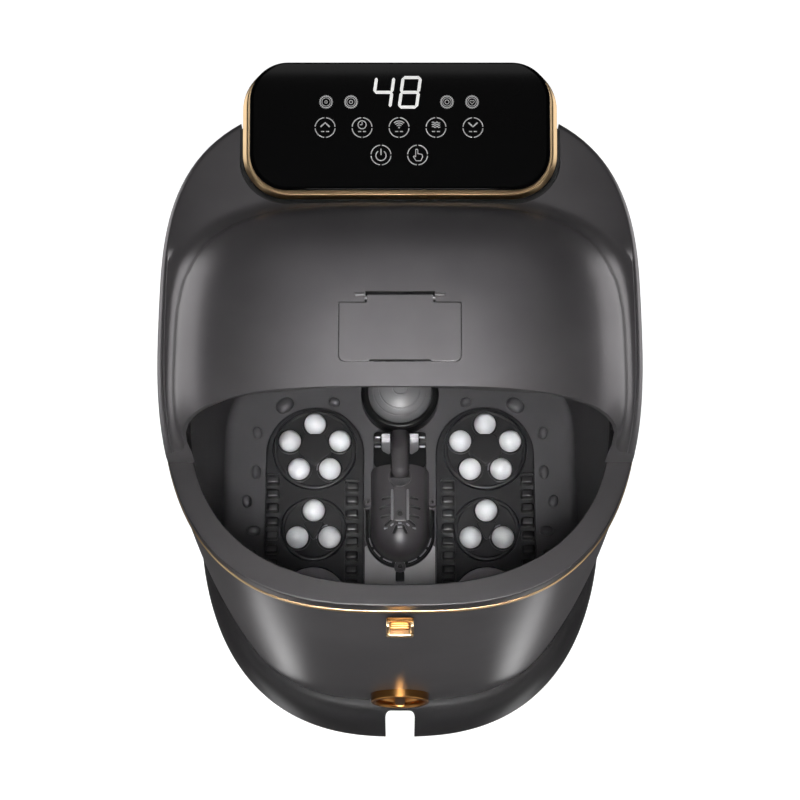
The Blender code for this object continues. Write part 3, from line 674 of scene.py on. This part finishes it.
def make_panel():
    glass = solid("panel_window", tilted(prism(panel_outline(0.0), -3.0, 0.0, 2.2, 6)))
    place(glass, "basin", ["panel_glass"], GLASS)
    section = [(-4.0, -9.0, 0.2), (5.2, -9.0, 0.8), (6.0, -7.8, 0.8), (3.6, -5.0, 0.5),
               (2.6, -4.0, 0.7), (1.6, -4.5, 0.4), (-4.0, -4.5, 0.2)]
    ring = solid("panel_ring", tilted(ring_body(
        lambda a, z: panel_outline(a, a if a < 0 else -a / 12), section)))
    place(ring, "basin", ["panel_trim_ring"], GOLD)
    housing = solid("panel_case", tilted(prism(panel_outline(-4.4), -24.0, -3.3, 1.0)))
    foot = notch_outline(-2 * GAP)
    slope = 386.0 + (foot[:, 1] - foot[:, 1].min()) * math.tan(math.radians(PANEL_TILT))
    plinth = solid("panel_plinth", prism(foot, RIM_HIGH.z + GAP, slope))
    carve(plinth, prism(oval(**RIM, grow=-12.0), 350.0, 460.0), operation="INTERSECT")
    combine(housing, plinth, "UNION")
    place(housing, "basin", ["panel_housing"], BLACK_PLASTIC)
    make_symbols()


# ---------------------------------------------------------------- printed symbols and display
def ribbon(points, width, closed=False, low=-0.15, high=0.12):
    """A flat band of constant height that follows a line in the panel's plane."""
    line = np.asarray(points, float)
    if closed:
        along = np.roll(line, -1, axis=0) - np.roll(line, 1, axis=0)
    else:
        along = np.gradient(line, axis=0)
    along /= np.linalg.norm(along, axis=1)[:, None]
    side = np.column_stack((-along[:, 1], along[:, 0])) * np.asarray(width).reshape(-1, 1) / 2
    rows = []
    for left, right in zip(line + side, line - side):
        rows.append(np.array(((*left, low), (*right, low), (*right, high), (*left, high))))
    return skin(rows, loop=closed)


def arc(radius, start, end, x=0.0, y=0.0, steps=24):
    angle = np.radians(np.linspace(start, end, steps))
    return np.column_stack((x + radius * np.cos(angle), y + radius * np.sin(angle)))


def full_ring(radius, width, x=0.0, y=0.0):
    return ribbon(circle(radius, x, y, 40), width, closed=True)


def segment(start, end, width):
    """One bar of a seven-segment digit, pointed at both ends."""
    start, end = np.array(start), np.array(end)
    way = (end - start) / np.linalg.norm(end - start)
    tip = 0.5 * width * way
    line = (start, start + 0.35 * tip, start + tip, end - tip, end - 0.35 * tip, end)
    return ribbon(line, np.array((0.15, 0.45, 1.0, 1.0, 0.45, 0.15)) * width)


def digit(bars, x):
    """Seven-segment digit with its lower left corner at x, leaning to the right."""
    wide, tall, stroke, slant = 13.6, 23.6, 2.4, 0.13
    half, cut = tall / 2, 0.06 * stroke
    ends = {"top": ((0, tall), (wide, tall)), "middle": ((0, half), (wide, half)),
            "bottom": ((0, 0), (wide, 0)), "upper_left": ((0, half), (0, tall)),
            "lower_left": ((0, 0), (0, half)), "upper_right": ((wide, half), (wide, tall)),
            "lower_right": ((wide, 0), (wide, half))}
    parts = []
    for bar in bars:
        (ax, ay), (bx, by) = ends[bar]
        dx, dy = np.sign(bx - ax) * cut, np.sign(by - ay) * cut
        parts.append(segment((x + ax + dx + slant * ay, DIGIT_Y + ay + dy),
                             (x + bx - dx + slant * by, DIGIT_Y + by - dy), stroke))
    return parts


def key_ring(x, y):
    """Touch key: a ring with four small gaps."""
    quarters = [arc(KEY_RADIUS, start + 5, start + 85, x, y) for start in (0, 90, 180, 270)]
    return [ribbon(quarter, 0.75) for quarter in quarters]


def badge(x, y):
    """Small round mark with a toothed edge."""
    parts = [full_ring(4.6, 0.7, x, y), full_ring(3.3, 0.45, x, y)]
    for tooth in range(20):
        angle = 2 * math.pi * tooth / 20
        near = (x + 4.9 * math.cos(angle), y + 4.9 * math.sin(angle))
        far = (x + 5.5 * math.cos(angle), y + 5.5 * math.sin(angle))
        parts.append(ribbon((near, far), 0.5))
    return parts


def icon_up(x, y, direction=1):
    line = ((-3.6, -1.7), (-1.8, -0.05), (0.0, 1.6), (1.8, -0.05), (3.6, -1.7))
    return [ribbon([(x + a, y + b * direction) for a, b in line], 1.1)]


def icon_down(x, y):
    return icon_up(x, y, -1)


def icon_clock(x, y):
    return [full_ring(3.2, 0.7, x, y), ribbon(((x, y), (x, y + 2.1)), 0.6),
            ribbon(((x, y), (x - 1.7, y)), 0.6)]


def icon_fan(x, y):
    parts = [ribbon(arc(radius, 45, 135, x, y - 2.6), 0.75) for radius in (2.4, 4.0, 5.6)]
    return parts + [prism(circle(0.7, x, y - 2.2, 16), -0.15, 0.12)]


def icon_waves(x, y):
    run = np.linspace(-3.2, 3.2, 26)
    return [ribbon(np.column_stack((x + run, y + level + 0.5 * np.sin(2.0 * run))), 0.7)
            for level in (-1.7, 0.0, 1.7)]


def icon_power(x, y):
    return [ribbon(arc(4.0, -235, 55, x, y - 0.4, 36), 0.8), ribbon(((x, y), (x, y + 5.0)), 0.9)]


def icon_hand(x, y):
    outline = rounded([(-3.4, -1.2, 0.8), (-2.4, -0.6, 0.4), (-1.5, -1.8, 0.3), (-1.5, 4.6, 0.8),
                       (0.2, 4.6, 0.8), (0.2, 1.0, 0.3), (3.6, 0.6, 1.2), (3.9, -1.6, 0.8),
                       (2.6, -4.6, 1.0), (-1.2, -4.6, 1.0)])
    return [ribbon(np.array(outline) + np.array((x, y)), 0.6, closed=True)]


def icon_heart(x, y):
    turn = np.linspace(0, 2 * math.pi, 40, endpoint=False)
    shape = np.column_stack((16 * np.sin(turn) ** 3, 13 * np.cos(turn) - 5 * np.cos(2 * turn)
                             - 2 * np.cos(3 * turn) - np.cos(4 * turn)))
    return [ribbon(shape * 0.11 + np.array((x, y)), 0.4, closed=True)]


def make_symbols():
    parts = []
    for number, x in enumerate((-58.1, -38.5, 36.9, 56.6)):
        parts += badge(x, BADGE_Y)
        dot = full_ring(1.0 + 0.3 * number, 0.5, x, BADGE_Y)
        parts += icon_heart(x, BADGE_Y) if number == 3 else [dot]
    for number, icon in enumerate((icon_up, icon_clock, icon_fan, icon_waves, icon_down)):
        x = KEY_PITCH * (number - 2) - 0.75
        parts += key_ring(x, KEY_Y) + icon(x, KEY_Y + 2.2)
        for middle in (x - 1.9, x + 1.9):
            parts.append(ribbon(((middle - 1.2, KEY_Y - 3.2), (middle + 1.2, KEY_Y - 3.2)), 0.8))
    for x, icon in ((-14.9, icon_power), (13.8, icon_hand)):
        parts += key_ring(x, LOWER_KEY_Y) + icon(x, LOWER_KEY_Y)
    symbols = solid("panel_symbols", *[tilted(part) for part in parts])
    place(symbols, "basin", [], PRINT)
    four = ("upper_left", "middle", "upper_right", "lower_right")
    eight = ("top", "bottom", "lower_left") + four
    digits = solid("panel_digits", *[tilted(part) for part in digit(four, -21.5) + digit(eight, -0.6)])
    place(digits, "basin", [], DISPLAY)


# ---------------------------------------------------------------- clasp, knob, inlet and feet
def fused(name, first, *others):
    """Boolean union of overlapping closed parts, one after the other."""
    item = solid(name, first)
    for part in others:
        carve(item, part, operation="UNION")
    return item


def make_clasp():
    low, high = extent("front_clasp")
    foot = low.z + 5.0             # the hook ends a little above the foot of its node
    y, z = (low.y + high.y) / 2, (foot + high.z) / 2
    wide, tall = high.x - low.x, high.z - foot
    back = soft_block((0, high.y - 1.8, z), (wide, 3.4, tall), 0.12)
    rails = [soft_block((side * (wide / 2 - 1.4), y, z + 1.5), (2.8, 7.4, tall - 4), 0.2)
             for side in (-1, 1)]
    bar = soft_block((0, low.y + 1.6, foot + 3.2), (wide, 8.0, 6.4), 0.3)
    ridges = [soft_block((0, y + 0.6, foot + rise), (wide - 4.6, 4.0, 2.8), 0.5)
              for rise in (11.0, 17.0, 23.0)]
    place(fused("clasp_hook", *rails, bar), "clasp", ["front_clasp"], GOLD)
    # painted shade: the clasp's recessed back and ridges take the darker copy of the gold
    place(fused("clasp_back", back, *ridges), "clasp", [], DARK_GOLD)


def make_knob():
    low, high = extent("drain_bezel")
    z, face, back = (low.z + high.z) / 2, -low.y, -high.y
    outer, inner = (high.x - low.x) / 2, 21.3
    ring = turned_ring([(inner, back, 0.3), (outer, back, 0.3), (outer, face, 1.6),
                        (inner + 0.6, face, 0.8), (inner, face - 2.0, 0.6)], sides=96)
    place(solid("knob_bezel", along_y(ring, z)), "basin", ["drain_bezel"], DARK_GOLD)
    floor, edge = face - 12.5, face - 4.5
    bowl = turned([(4.0, face - 18, 0), (4.0, floor, 0), (20.4, floor, 0.4), (20.4, edge, 0.8),
                   (18.6, edge, 0.8), (15.5, face - 10.0, 3.0), (0.02, face - 10.5, 0)], sides=96)
    knob = solid("knob_dish", along_y(bowl, z))
    grip = soft_block((0, -(face - 6.5), z), (9.6, 11.0, 35.0), 0.35, 32, 20)
    carve(knob, grip, operation="UNION")
    place(knob, "knob", ["drain_knob"], DARK_GOLD)


def make_inlet_and_feet():
    low, high = extent("power_inlet")
    z, radius = (low.z + high.z) / 2, half_width("power_inlet")
    body = turned([(radius, low.y, 0.4), (radius, high.y, 1.2), (0.02, high.y, 0)], sides=64)
    inlet = solid("mains_inlet", put(body, z=z, turn=-90, axis="X"))
    well = put(prism(stadium(3.6, -6.4, 6.4), high.y - 9.0, high.y + 3.0), turn=90)
    deep = put(well, z=z, turn=-90, axis="X")
    carve(inlet, deep)
    place(inlet, "basin", ["power_inlet"], BLACK_PLASTIC)
    for node in [f"rubber_foot_{end}_{side}" for end in ("front", "rear") for side, _ in SIDES]:
        middle, top = middle_of(node), extent(node)[1].z
        foot = turned([(0.02, 0.0, 0), (11.0, 0.0, 0), (13.6, 0.0, 1.2), (13.9, top, 0.6),
                       (0.02, top, 0)], middle.x, middle.y)
        place(solid(node.replace("rubber_foot", "foot_pad"), foot), "basin", [node], RUBBER)


# ---------------------------------------------------------------- foot plates, discs and balls
def make_disc(name, side, balls, hub_apothem, hub_top, hub_round):
    """Turntable with a raised lip round each ball's pocket and a raised hub with a side facing each
    ball; a silver arc laid on the lip of one pocket is a painted highlight."""
    node = f"{name}_disc_{side}"
    middle, radius, (low, high) = middle_of(node), half_width(node), extent(node)
    x, y, top, under = middle.x, middle.y, high.z, 75.7
    disc = solid(f"{name}_turntable_{side}", turned(
        [(6.0, low.z, 0), (6.0, under, 0), (radius, under, 0.5), (radius, top, 1.4),
         (radius - 2.6, top, 0.8), (radius - 3.4, top - 1.2, 0.8), (0.02, top - 1.2, 0)], x, y, 96))
    centres = [middle_of(f"{name}_ball_{k + 1}_{side}") for k in range(balls)]
    section = [(9.0, 80.0, 0), (12.0, 80.0, 0), (12.0, top + 0.8, 0.9), (10.9, top + 0.8, 0.4),
               (9.0, top - 1.0, 0)]
    carve(disc, *[turned_ring(section, c.x, c.y, 48) for c in centres], operation="UNION")
    reach = hub_apothem / math.cos(math.pi / balls)
    corners = []
    for k in range(balls):
        angle = math.radians(90 + 180 / balls) + 2 * math.pi * k / balls
        corners.append((x + reach * math.cos(angle), y + reach * math.sin(angle), hub_round))
    hub = prism(np.array(rounded(corners, steps=8)), 80.0, hub_top, 1.2)
    carve(disc, hub, operation="UNION")
    carve(disc, *[prism(circle(POCKET_RADIUS, c.x, c.y, 48), 77.0, 95.0) for c in centres])
    place(disc, node, [node], PLATE_PLASTIC)
    last = max(centres, key=lambda c: c.x - 0.6 * c.y)
    # painted highlight: a thin silver arc on one pocket's lip stands in for the light that the lip
    # catches
    glint_arc = ribbon(arc(11.7, 100, 185, last.x, last.y, 20), 1.1, low=-0.8, high=0.25)
    place(solid(f"{name}_crescent_{side}", put(glint_arc, z=top + 0.75)), node, [], SILVER)
    for number, centre in enumerate(centres, 1):
        ball = solid(f"{name}_roller_{number}_{side}", sphere(centre, BALL_RADIUS))
        ball_node = f"{name}_ball_{number}_{side}"
        place(ball, ball_node, [ball_node], BALL)


def make_plate(side, sign):
    low, high = extent(f"foot_plate_{side}")
    outline = stadium(half_width(f"foot_plate_{side}"), low.y, high.y, (low.x + high.x) / 2, 32)
    plate = solid(f"sole_plate_{side}", prism(outline, low.z, 84.0, 1.6))
    heel_node, arch = f"heel_pad_{side}", middle_of(f"arch_disc_{side}")
    wells = []
    for node, deep in ((f"arch_disc_{side}", 70.0), (f"mid_disc_{side}", 70.0), (heel_node, 77.6)):
        middle = middle_of(node)
        wells.append(prism(circle(half_width(node) + 0.9, middle.x, middle.y, 96), deep, 95.0))
    carve(plate, *wells)
    pitch = 13.0
    for x, first_y, count in ((arch.x - sign * 34.5, -23.0, 8), (arch.x + sign * 37.5, -17.0, 7)):
        last_y = first_y - pitch * (count - 1)
        channel = round_rect((x - 6.6, last_y - 7.5), (x + 6.6, first_y + 7.5), 2.0)
        carve(plate, prism(channel, 79.5, 90.0))
        blocks = [soft_block((x, first_y - pitch * k, 83.0), (11.6, 7.6, 11.0), 0.42, 28, 16)
                  for k in range(count)]
        carve(plate, *blocks, operation="UNION")
    place(plate, "basin", [f"foot_plate_{side}"], PLATE_PLASTIC)
    low, high = extent(heel_node)
    radius, middle = half_width(heel_node), middle_of(heel_node)
    heel = turned([(radius, low.z, 0.3), (radius, 83.0, 1.2), (radius - 3.0, 83.6, 0.8),
                   (20.0, 87.0, 8.0), (9.0, high.z, 6.0), (0.02, high.z, 0)], middle.x, middle.y, 96)
    place(solid(f"heel_dome_{side}", heel), "basin", [heel_node], HEEL)


# ---------------------------------------------------------------- lamp, pipe, bracket and cage
def make_lamp():
    """Domed lens with three fine round grooves, in a ring."""
    low, high = extent("lamp_lens")
    y, flange, radius, sill = middle_of("lamp_lens").y, half_width("lamp_lens"), 29.0, 88.6
    profile = [(flange, low.z), (flange, 88.0), (radius, 88.0)]
    for angle in [math.radians(90) * step / 90 for step in range(91)]:
        r = radius * math.cos(angle)
        groove = sum(0.45 for middle in (6.6, 19.0, 24.5) if abs(r - middle) < 0.45)
        profile.append((r, sill + (high.z - sill) * math.sin(angle) - groove))
    lens = skin([lift(circle(max(r, 0.02), 0, y, 96), z) for r, z in profile])
    place(solid("lamp_dome", lens), "basin", ["lamp_lens"], LENS)
    low, high = extent("lamp_bezel")
    outer, inner, bore, top = half_width("lamp_bezel"), flange + 0.5, radius + 0.5, high.z
    ring = turned_ring([(inner, low.z, 0.3), (outer, low.z, 0.3), (outer, top - 3.0, 2.0),
                        (outer - 2.6, top, 1.2), (radius + 1.4, top, 0.8), (bore, top - 1.4, 0.4),
                        (bore, sill, 0.3), (inner, sill, 0.2)], 0, y, 96)
    place(solid("lamp_ring", ring), "basin", ["lamp_bezel"], BLACK_PLASTIC)


def make_pipe():
    """Pipe that bends down under the lamp's ring at the rear and ends in a dome at the front."""
    low, high = extent("feed_pipe")
    radius, rear, front = (high.x - low.x) / 2, 29.6, low.y
    turn = np.linspace(0, 2 * math.pi, 48, endpoint=False)
    rows = []
    for step in range(61):
        y = rear + (front + radius - rear) * min(1.0, step / 40)
        drop = 20.0 * max(0.0, (y - 4.0) / (rear - 4.0)) ** 1.6
        ball = math.radians(88) * max(0, step - 40) / 20
        reach = radius * math.cos(ball)
        rows.append(np.column_stack((reach * np.cos(turn), np.full(48, y - radius * math.sin(ball)),
                                     PIPE_Z - drop + reach * np.sin(turn))))
    place(solid("supply_pipe", skin(rows)), "basin", ["feed_pipe"], CAGE_PLASTIC)
    low, high = extent("pipe_bracket")
    block = round_rect((low.x, low.y - 1.0), (high.x, high.y), (6.0, 6.0, 3.0, 3.0))
    bracket = solid("pipe_saddle", prism(block, low.z, high.z, 1.2))
    for side in (-1, 1):
        window = rounded([(side * 9.0, 27.0, 0.5), (side * 17.0, 27.0, 0.5), (side * 17.0, 11.0, 5.0),
                          (side * 9.0, 6.0, 2.0)][::side], steps=8)
        carve(bracket, prism(np.array(window), 70.0, 95.0))
        near, far = sorted((side * 18.5, side * 30.0))
        carve(bracket, prism(round_rect((near, 16.0), (far, 22.0), 0.6), 79.0, 95.0))
    place(bracket, "basin", ["pipe_bracket"], BLACK_PLASTIC)
    ears = [soft_block((side * 20.4, y, high.z + 0.2), (5.6, 1.8, 2.4), 0.4)
            for side in (-1, 1) for y in (23.5, 14.6)]
    place(solid("saddle_ears", *ears), "basin", [], SILVER)


def hood_height(half, rear, round_y, tall, low, power, x, y):
    """Height of the hood's top face over a point of its plan."""
    scale = math.sqrt(max(0.0, 1 - (max(0.0, round_y - y) / half) ** 2))
    across = math.sqrt(max(0.0, 1 - (x / max(half * scale, 0.01)) ** 2))
    return low + tall * scale ** 0.5 * across ** power


def hood(half, rear, round_y, tall, low, power):
    """Half capsule: an arch along Y with a round front end, closed flat below."""
    stations = [(rear + (round_y - rear) * k / 16, 1.0) for k in range(17)]
    for step in range(1, 19):
        angle = math.radians(88.0) * step / 18
        stations.append((round_y - half * math.sin(angle), math.cos(angle)))
    turn = np.linspace(0, math.pi, 41)
    rows = []
    for y, scale in stations:
        z = low + tall * scale ** 0.5 * np.sin(turn) ** power
        arch = np.column_stack((half * scale * np.cos(turn), np.full(41, y), z))
        feet = np.array(((-half * scale, y, low - 0.01), (half * scale, y, low - 0.01)))
        rows.append(np.vstack((arch, feet)))
    return skin(rows)


def upright_slot(start, end, width, low, high):
    """Upright bar between two plan points, with round ends half its width beyond them."""
    start, end = Vector(start), Vector(end)
    reach = ((end - start).length + width) / 2
    bar = stadium(width / 2, -reach, reach, steps=8)
    turn = math.degrees(math.atan2(end.y - start.y, end.x - start.x)) - 90
    middle = (start + end) / 2
    return put(prism(bar, low, high), middle.x, middle.y, 0.0, turn)


def hood_slot_ends():
    """Inner end, outer end and width of each slot in the hood's top."""
    ends = [((0.0, -56.2), (0.0, -55.8), 5.0)]
    for side in (-1, 1):
        ends += [((side * 9.6, y), (side * far, y - 0.8), 2.8)
                 for y, far in ((-40.0, 15.2), (-48.3, 17.2), (-56.7, 16.2))]
        ends.append(((side * 7.8, -61.5), (side * 12.8, -65.5), 2.6))
        ends.append(((side * 3.0, -67.0), (side * 5.6, -73.0), 2.6))
    return ends


def make_cage():
    """Thin hood with a top rib and a collar round the pipe; black plugs deep in its slots are painted
    shade, and silver strips and blocks on its top are painted highlights.
    """
    low, high = extent("intake_cage")
    half, rear, base, top = half_width("intake_cage"), high.y - 3.0, low.z, high.z
    round_y, tall, power = low.y + half, top - base, 0.8
    shape = (half, rear, round_y, tall, base, power)
    cage = fused("intake_hood", hood(*shape),
                 soft_block((0, -47.0, top - 2.5), (11.0, 33.0, 8.0), 0.16, 40, 20),
                 prism(stadium(10.2, -31.4, -10.6), top - 10.0, top + 1.8, 0.8))
    carve(cage, hood(half - 2.5, rear - 2.5, round_y, tall - 2.5, base - 6.0, power))
    carve(cage, prism(stadium(8.5, -29.8, 10.0), top - 18.0, top + 12.0))
    # painted shade: a black plug under each slot darkens it
    shade_plugs = []
    for start, end, width in hood_slot_ends():
        carve(cage, upright_slot(start, end, width, top - 16, top + 9))
        face = hood_height(*shape, *end) - 1.6
        shade_plugs.append(upright_slot(start, end, width - 0.1, face - 3.0, face))
    place(solid("hood_slot_shade", *shade_plugs), "basin", [], BLACK_PLASTIC)
    place(cage, "basin", ["intake_cage"], CAGE_PLASTIC)
    # painted highlights: silver strips on the rib's edges and small silver blocks between the slots
    # stand in for light caught there
    glint_strips = [soft_block((x, -47.5, top), (2.4, 29.0, 1.6), 0.3, 28, 12) for x in (-7.0, 7.0)]
    for x, y, length, turn in ((12.6, -68.6, 3.6, 10), (7.0, -66.0, 3.4, 40), (0.0, -64.6, 3.2, 0),
                               (0.0, -68.4, 4.4, 0)):
        block = soft_block((0, 0, 0), (length, 1.5, 1.8), 0.4)
        for side in ((-1, 1) if x else (1,)):
            glint_strips.append(put(block, side * x, y, hood_height(*shape, side * x, y), -side * turn))
    place(solid("hood_painted_glints", *glint_strips), "basin", [], SILVER)
    make_flange()


def make_flange():
    low, high = extent("cage_flange")
    half, base, top = half_width("cage_flange"), low.z, high.z
    outer = stadium(half, low.y, 20.0, steps=40)
    section = [(-4.6, base, 0.2), (0, base, 0.2), (0, base + 2.6, 0.6), (-1.4, base + 3.2, 0.3),
               (-2.0, top + 1.4, 0.6), (-4.6, top + 1.4, 0.4)]
    flange = solid("hood_flange", ring_body(lambda a, z: grown(outer, a), section))
    carve(flange, box_solid((-60, high.y, 60), (60, 90, 100)))
    tab = soft_block((0, low.y - 8.0, base + 2.2), (8.0, 9.0, 4.4), 0.25)
    carve(flange, tab, operation="UNION")
    place(flange, "basin", ["cage_flange"], BLACK_PLASTIC)
    marks = []
    for angle in [-90 + 24 * number for number in range(-3, 4)]:
        line = arc(half - 3.4, angle - 9, angle + 9, 0, low.y + half, 14)
        marks.append(put(ribbon(line, 1.2, low=-0.6, high=0.35), z=top + 1.3))
    place(solid("flange_marks", *marks), "basin", [], SILVER)
    bosses = []
    for x, y, bore, radius, rise, edge in ((0.0, low.y + 0.6, 2.2, 5.2, 2.4, 1.0),
                                           (2.0 - half, high.y + 7.0, 1.3, 3.8, 2.0, 0.8),
                                           (half - 2.0, high.y + 7.0, 1.3, 3.8, 2.0, 0.8)):
        bosses.append(turned_ring([(bore, base, 0), (radius, base, 0), (radius, top + rise, edge),
                                   (bore, top + rise, 0.3)], x, y, 32))
    place(solid("flange_bosses", *bosses), "basin", [], CAGE_PLASTIC)


def make_heater_plate():
    """Satin plates on the tub's floor: in front of the cage, and under the saddle's windows."""
    for name, half, front, rear, material in (("heating_plate", 31.8, -168.0, -76.0, HEATER),
                                              ("saddle_plate", 18.5, 2.0, 28.4, SILVER)):
        outline = round_rect((-half, front), (half, rear), 2.0)
        plate = prism(outline, FLOOR_Z - 0.5, FLOOR_Z + 0.28, 0.2, 2)
        place(solid(name, plate), "basin", [], material)


def make_seam_slots():
    """Short dark slots where the barrel meets the skirt, two on each side."""
    seam, low, high = oval(**SEAM, grow=0.2, count=1440), SKIRT_HIGH.z + 1.8, SKIRT_HIGH.z + 6.5
    slots = []
    for side in (-1, 1):
        for near, far in ((131.0, 137.5), (139.0, 142.0)):
            inside = (seam[:, 1] < 0) & (seam[:, 0] * side > near) & (seam[:, 0] * side < far)
            slots.append(ribbon(seam[inside], 1.2, low=low, high=high))
    place(solid("seam_slots", *slots), "basin", [], BLACK_PLASTIC)


# ---------------------------------------------------------------- stage, light and camera
def make_stage():
    """A pale floor that runs into a dome, seen by the camera and left out of reflections."""
    profile = [(0.02, 0.0, 0), (7000.0, 0.0, 1500.0), (7000.0, 6000.0, 2500.0), (0.02, 6500.0, 0)]
    rows = [lift(circle(max(r, 0.02), sides=64), z - 0.3) for r, z in rounded(profile, False, 16)]
    stage = solid("studio", skin(rows))
    stage.data.flip_normals()
    material = bpy.data.materials.new("studio_white")
    material.use_nodes = True
    shader = material.node_tree.nodes["Principled BSDF"]
    shader.inputs["Base Color"].default_value = (0.25, 0.25, 0.25, 1)
    shader.inputs["Specular IOR Level"].default_value = 0.0
    shader.inputs["Roughness"].default_value = 1.0
    shader.inputs["Emission Color"].default_value = (1, 1, 1, 1)
    shader.inputs["Emission Strength"].default_value = 0.98
    stage.data.materials.append(material)
    for ray in ("diffuse", "glossy", "shadow", "transmission"):
        setattr(stage, f"visible_{ray}", False)
    world = bpy.data.worlds.new("studio_air")
    world.use_nodes = True
    nodes, links = world.node_tree.nodes, world.node_tree.links
    direction = nodes.new("ShaderNodeTexCoord")
    split = nodes.new("ShaderNodeSeparateXYZ")
    ramp = nodes.new("ShaderNodeValToRGB")
    links.new(direction.outputs["Generated"], split.inputs["Vector"])
    links.new(split.outputs["Z"], ramp.inputs["Fac"])
    links.new(ramp.outputs["Color"], nodes["Background"].inputs["Color"])
    ramp.color_ramp.elements[0].position, ramp.color_ramp.elements[1].position = 0.0, 0.35
    ramp.color_ramp.elements[0].color = (0.085, 0.082, 0.084, 1)
    ramp.color_ramp.elements[1].color = (0.060, 0.058, 0.060, 1)
    bpy.context.scene.world = world
    bpy.context.scene.view_settings.view_transform = "Standard"


def softbox(name, at, aim, size, power, long_axis=(0, 1, 0), spread_angle=180.0):
    """Area light of the given width and length; long_axis is roughly the way its length runs."""
    light = bpy.data.lights.new(name, "AREA")
    light.shape = "RECTANGLE"
    light.size, light.size_y = size
    light.energy = power
    light.spread = math.radians(spread_angle)
    item = bpy.data.objects.new(name, light)
    backward = (Vector(at) - Vector(aim)).normalized()
    sideways = Vector(long_axis).cross(backward).normalized()
    item.matrix_world = Matrix.Translation(at) @ Matrix(
        (sideways, backward.cross(sideways), backward)).transposed().to_4x4()
    item.visible_camera = False
    bpy.context.scene.collection.objects.link(item)


def make_lights():
    """Each row is a name, place, point aimed at, size, brightness and the way its length runs.
    A light off the middle has a twin on the other side."""
    up, back = (0, 0, 1), (0, 1, 0)
    rows = (("top_box", (0.0, 0.30, 1.60), (0.0, 0.30, 0.0), (0.40, 0.20), 4.2, back),
            ("top_soft", (0.0, 0.30, 1.62), (0.0, 0.30, 0.0), (0.44, 0.60), 0.5, back),
            ("deck_box", (0.0, 0.85, 1.60), (0.0, 0.85, 0.0), (0.90, 0.35), 0.7, back),
            ("front_wall", (0.75, -1.15, 0.20), (0.0, 0.0, 0.20), (1.20, 1.50), 0.95, up),
            ("side_wall", (1.1, 0.60, 0.35), (0.0, 0.60, 0.35), (1.35, 0.90), 1.7, back),
            ("fore_wall", (1.1, -0.70, 0.35), (0.0, -0.70, 0.35), (1.35, 0.30), 0.55, back),
            ("low_strip", (0.34, -0.36, -0.45), (0.34, -0.36, 0.5), (0.07, 0.34), 2.3, (0.85, -0.53, 0)))
    for name, at, aim, size, bright, along in rows:
        power = math.pi * size[0] * size[1] * bright
        softbox(name, at, aim, size, power, along)
        if at[0]:
            softbox(f"{name}_twin", (-at[0], *at[1:]), (-aim[0], *aim[1:]), size, power,
                    (-along[0], *along[1:]))
    softbox("tub_light", (0.0, -0.62, 1.55), (0, -0.06, 0.1), (0.30, 0.30), TUB_LIGHT,
            spread_angle=24)


def make_camera():
    data = bpy.data.cameras.new("camera")
    data.lens = 87.75
    data.sensor_width = 36.0
    item = bpy.data.objects.new("camera", data)
    item.location = (0.0, -0.556, 1.7795)
    item.rotation_euler = (math.radians(20.0), 0.0, 0.0)
    bpy.context.scene.collection.objects.link(item)
    bpy.context.scene.camera = item


def finish_kept_nodes():
    """Materials for the inner nodes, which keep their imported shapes."""
    kept = {"base_plate": BLACK_PLASTIC, "circulation_pump": BLACK_PLASTIC, "water_heater": STEEL,
            "drain_valve": BLACK_PLASTIC}
    for side, _ in SIDES:
        kept.update({f"massage_motor_{side}": STEEL, f"arch_gear_{side}": NYLON,
                     f"mid_gear_{side}": NYLON})
    for node, material in kept.items():
        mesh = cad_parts[node].data
        mesh.materials.clear()
        mesh.materials.append(material)


make_stage()
make_lights()
make_camera()
make_skirt()
make_barrel()
make_rim()
make_trim()
make_tub()
make_cover()
make_hatch()
make_panel()
make_clasp()
make_knob()
make_inlet_and_feet()
for side, sign in SIDES:
    make_plate(side, sign)
    make_disc("arch", side, 5, 13.4, 91.0, 4.0)
    make_disc("mid", side, 3, 6.0, 89.5, 2.5)
make_lamp()
make_pipe()
make_cage()
make_heater_plate()
make_seam_slots()
finish_kept_nodes()
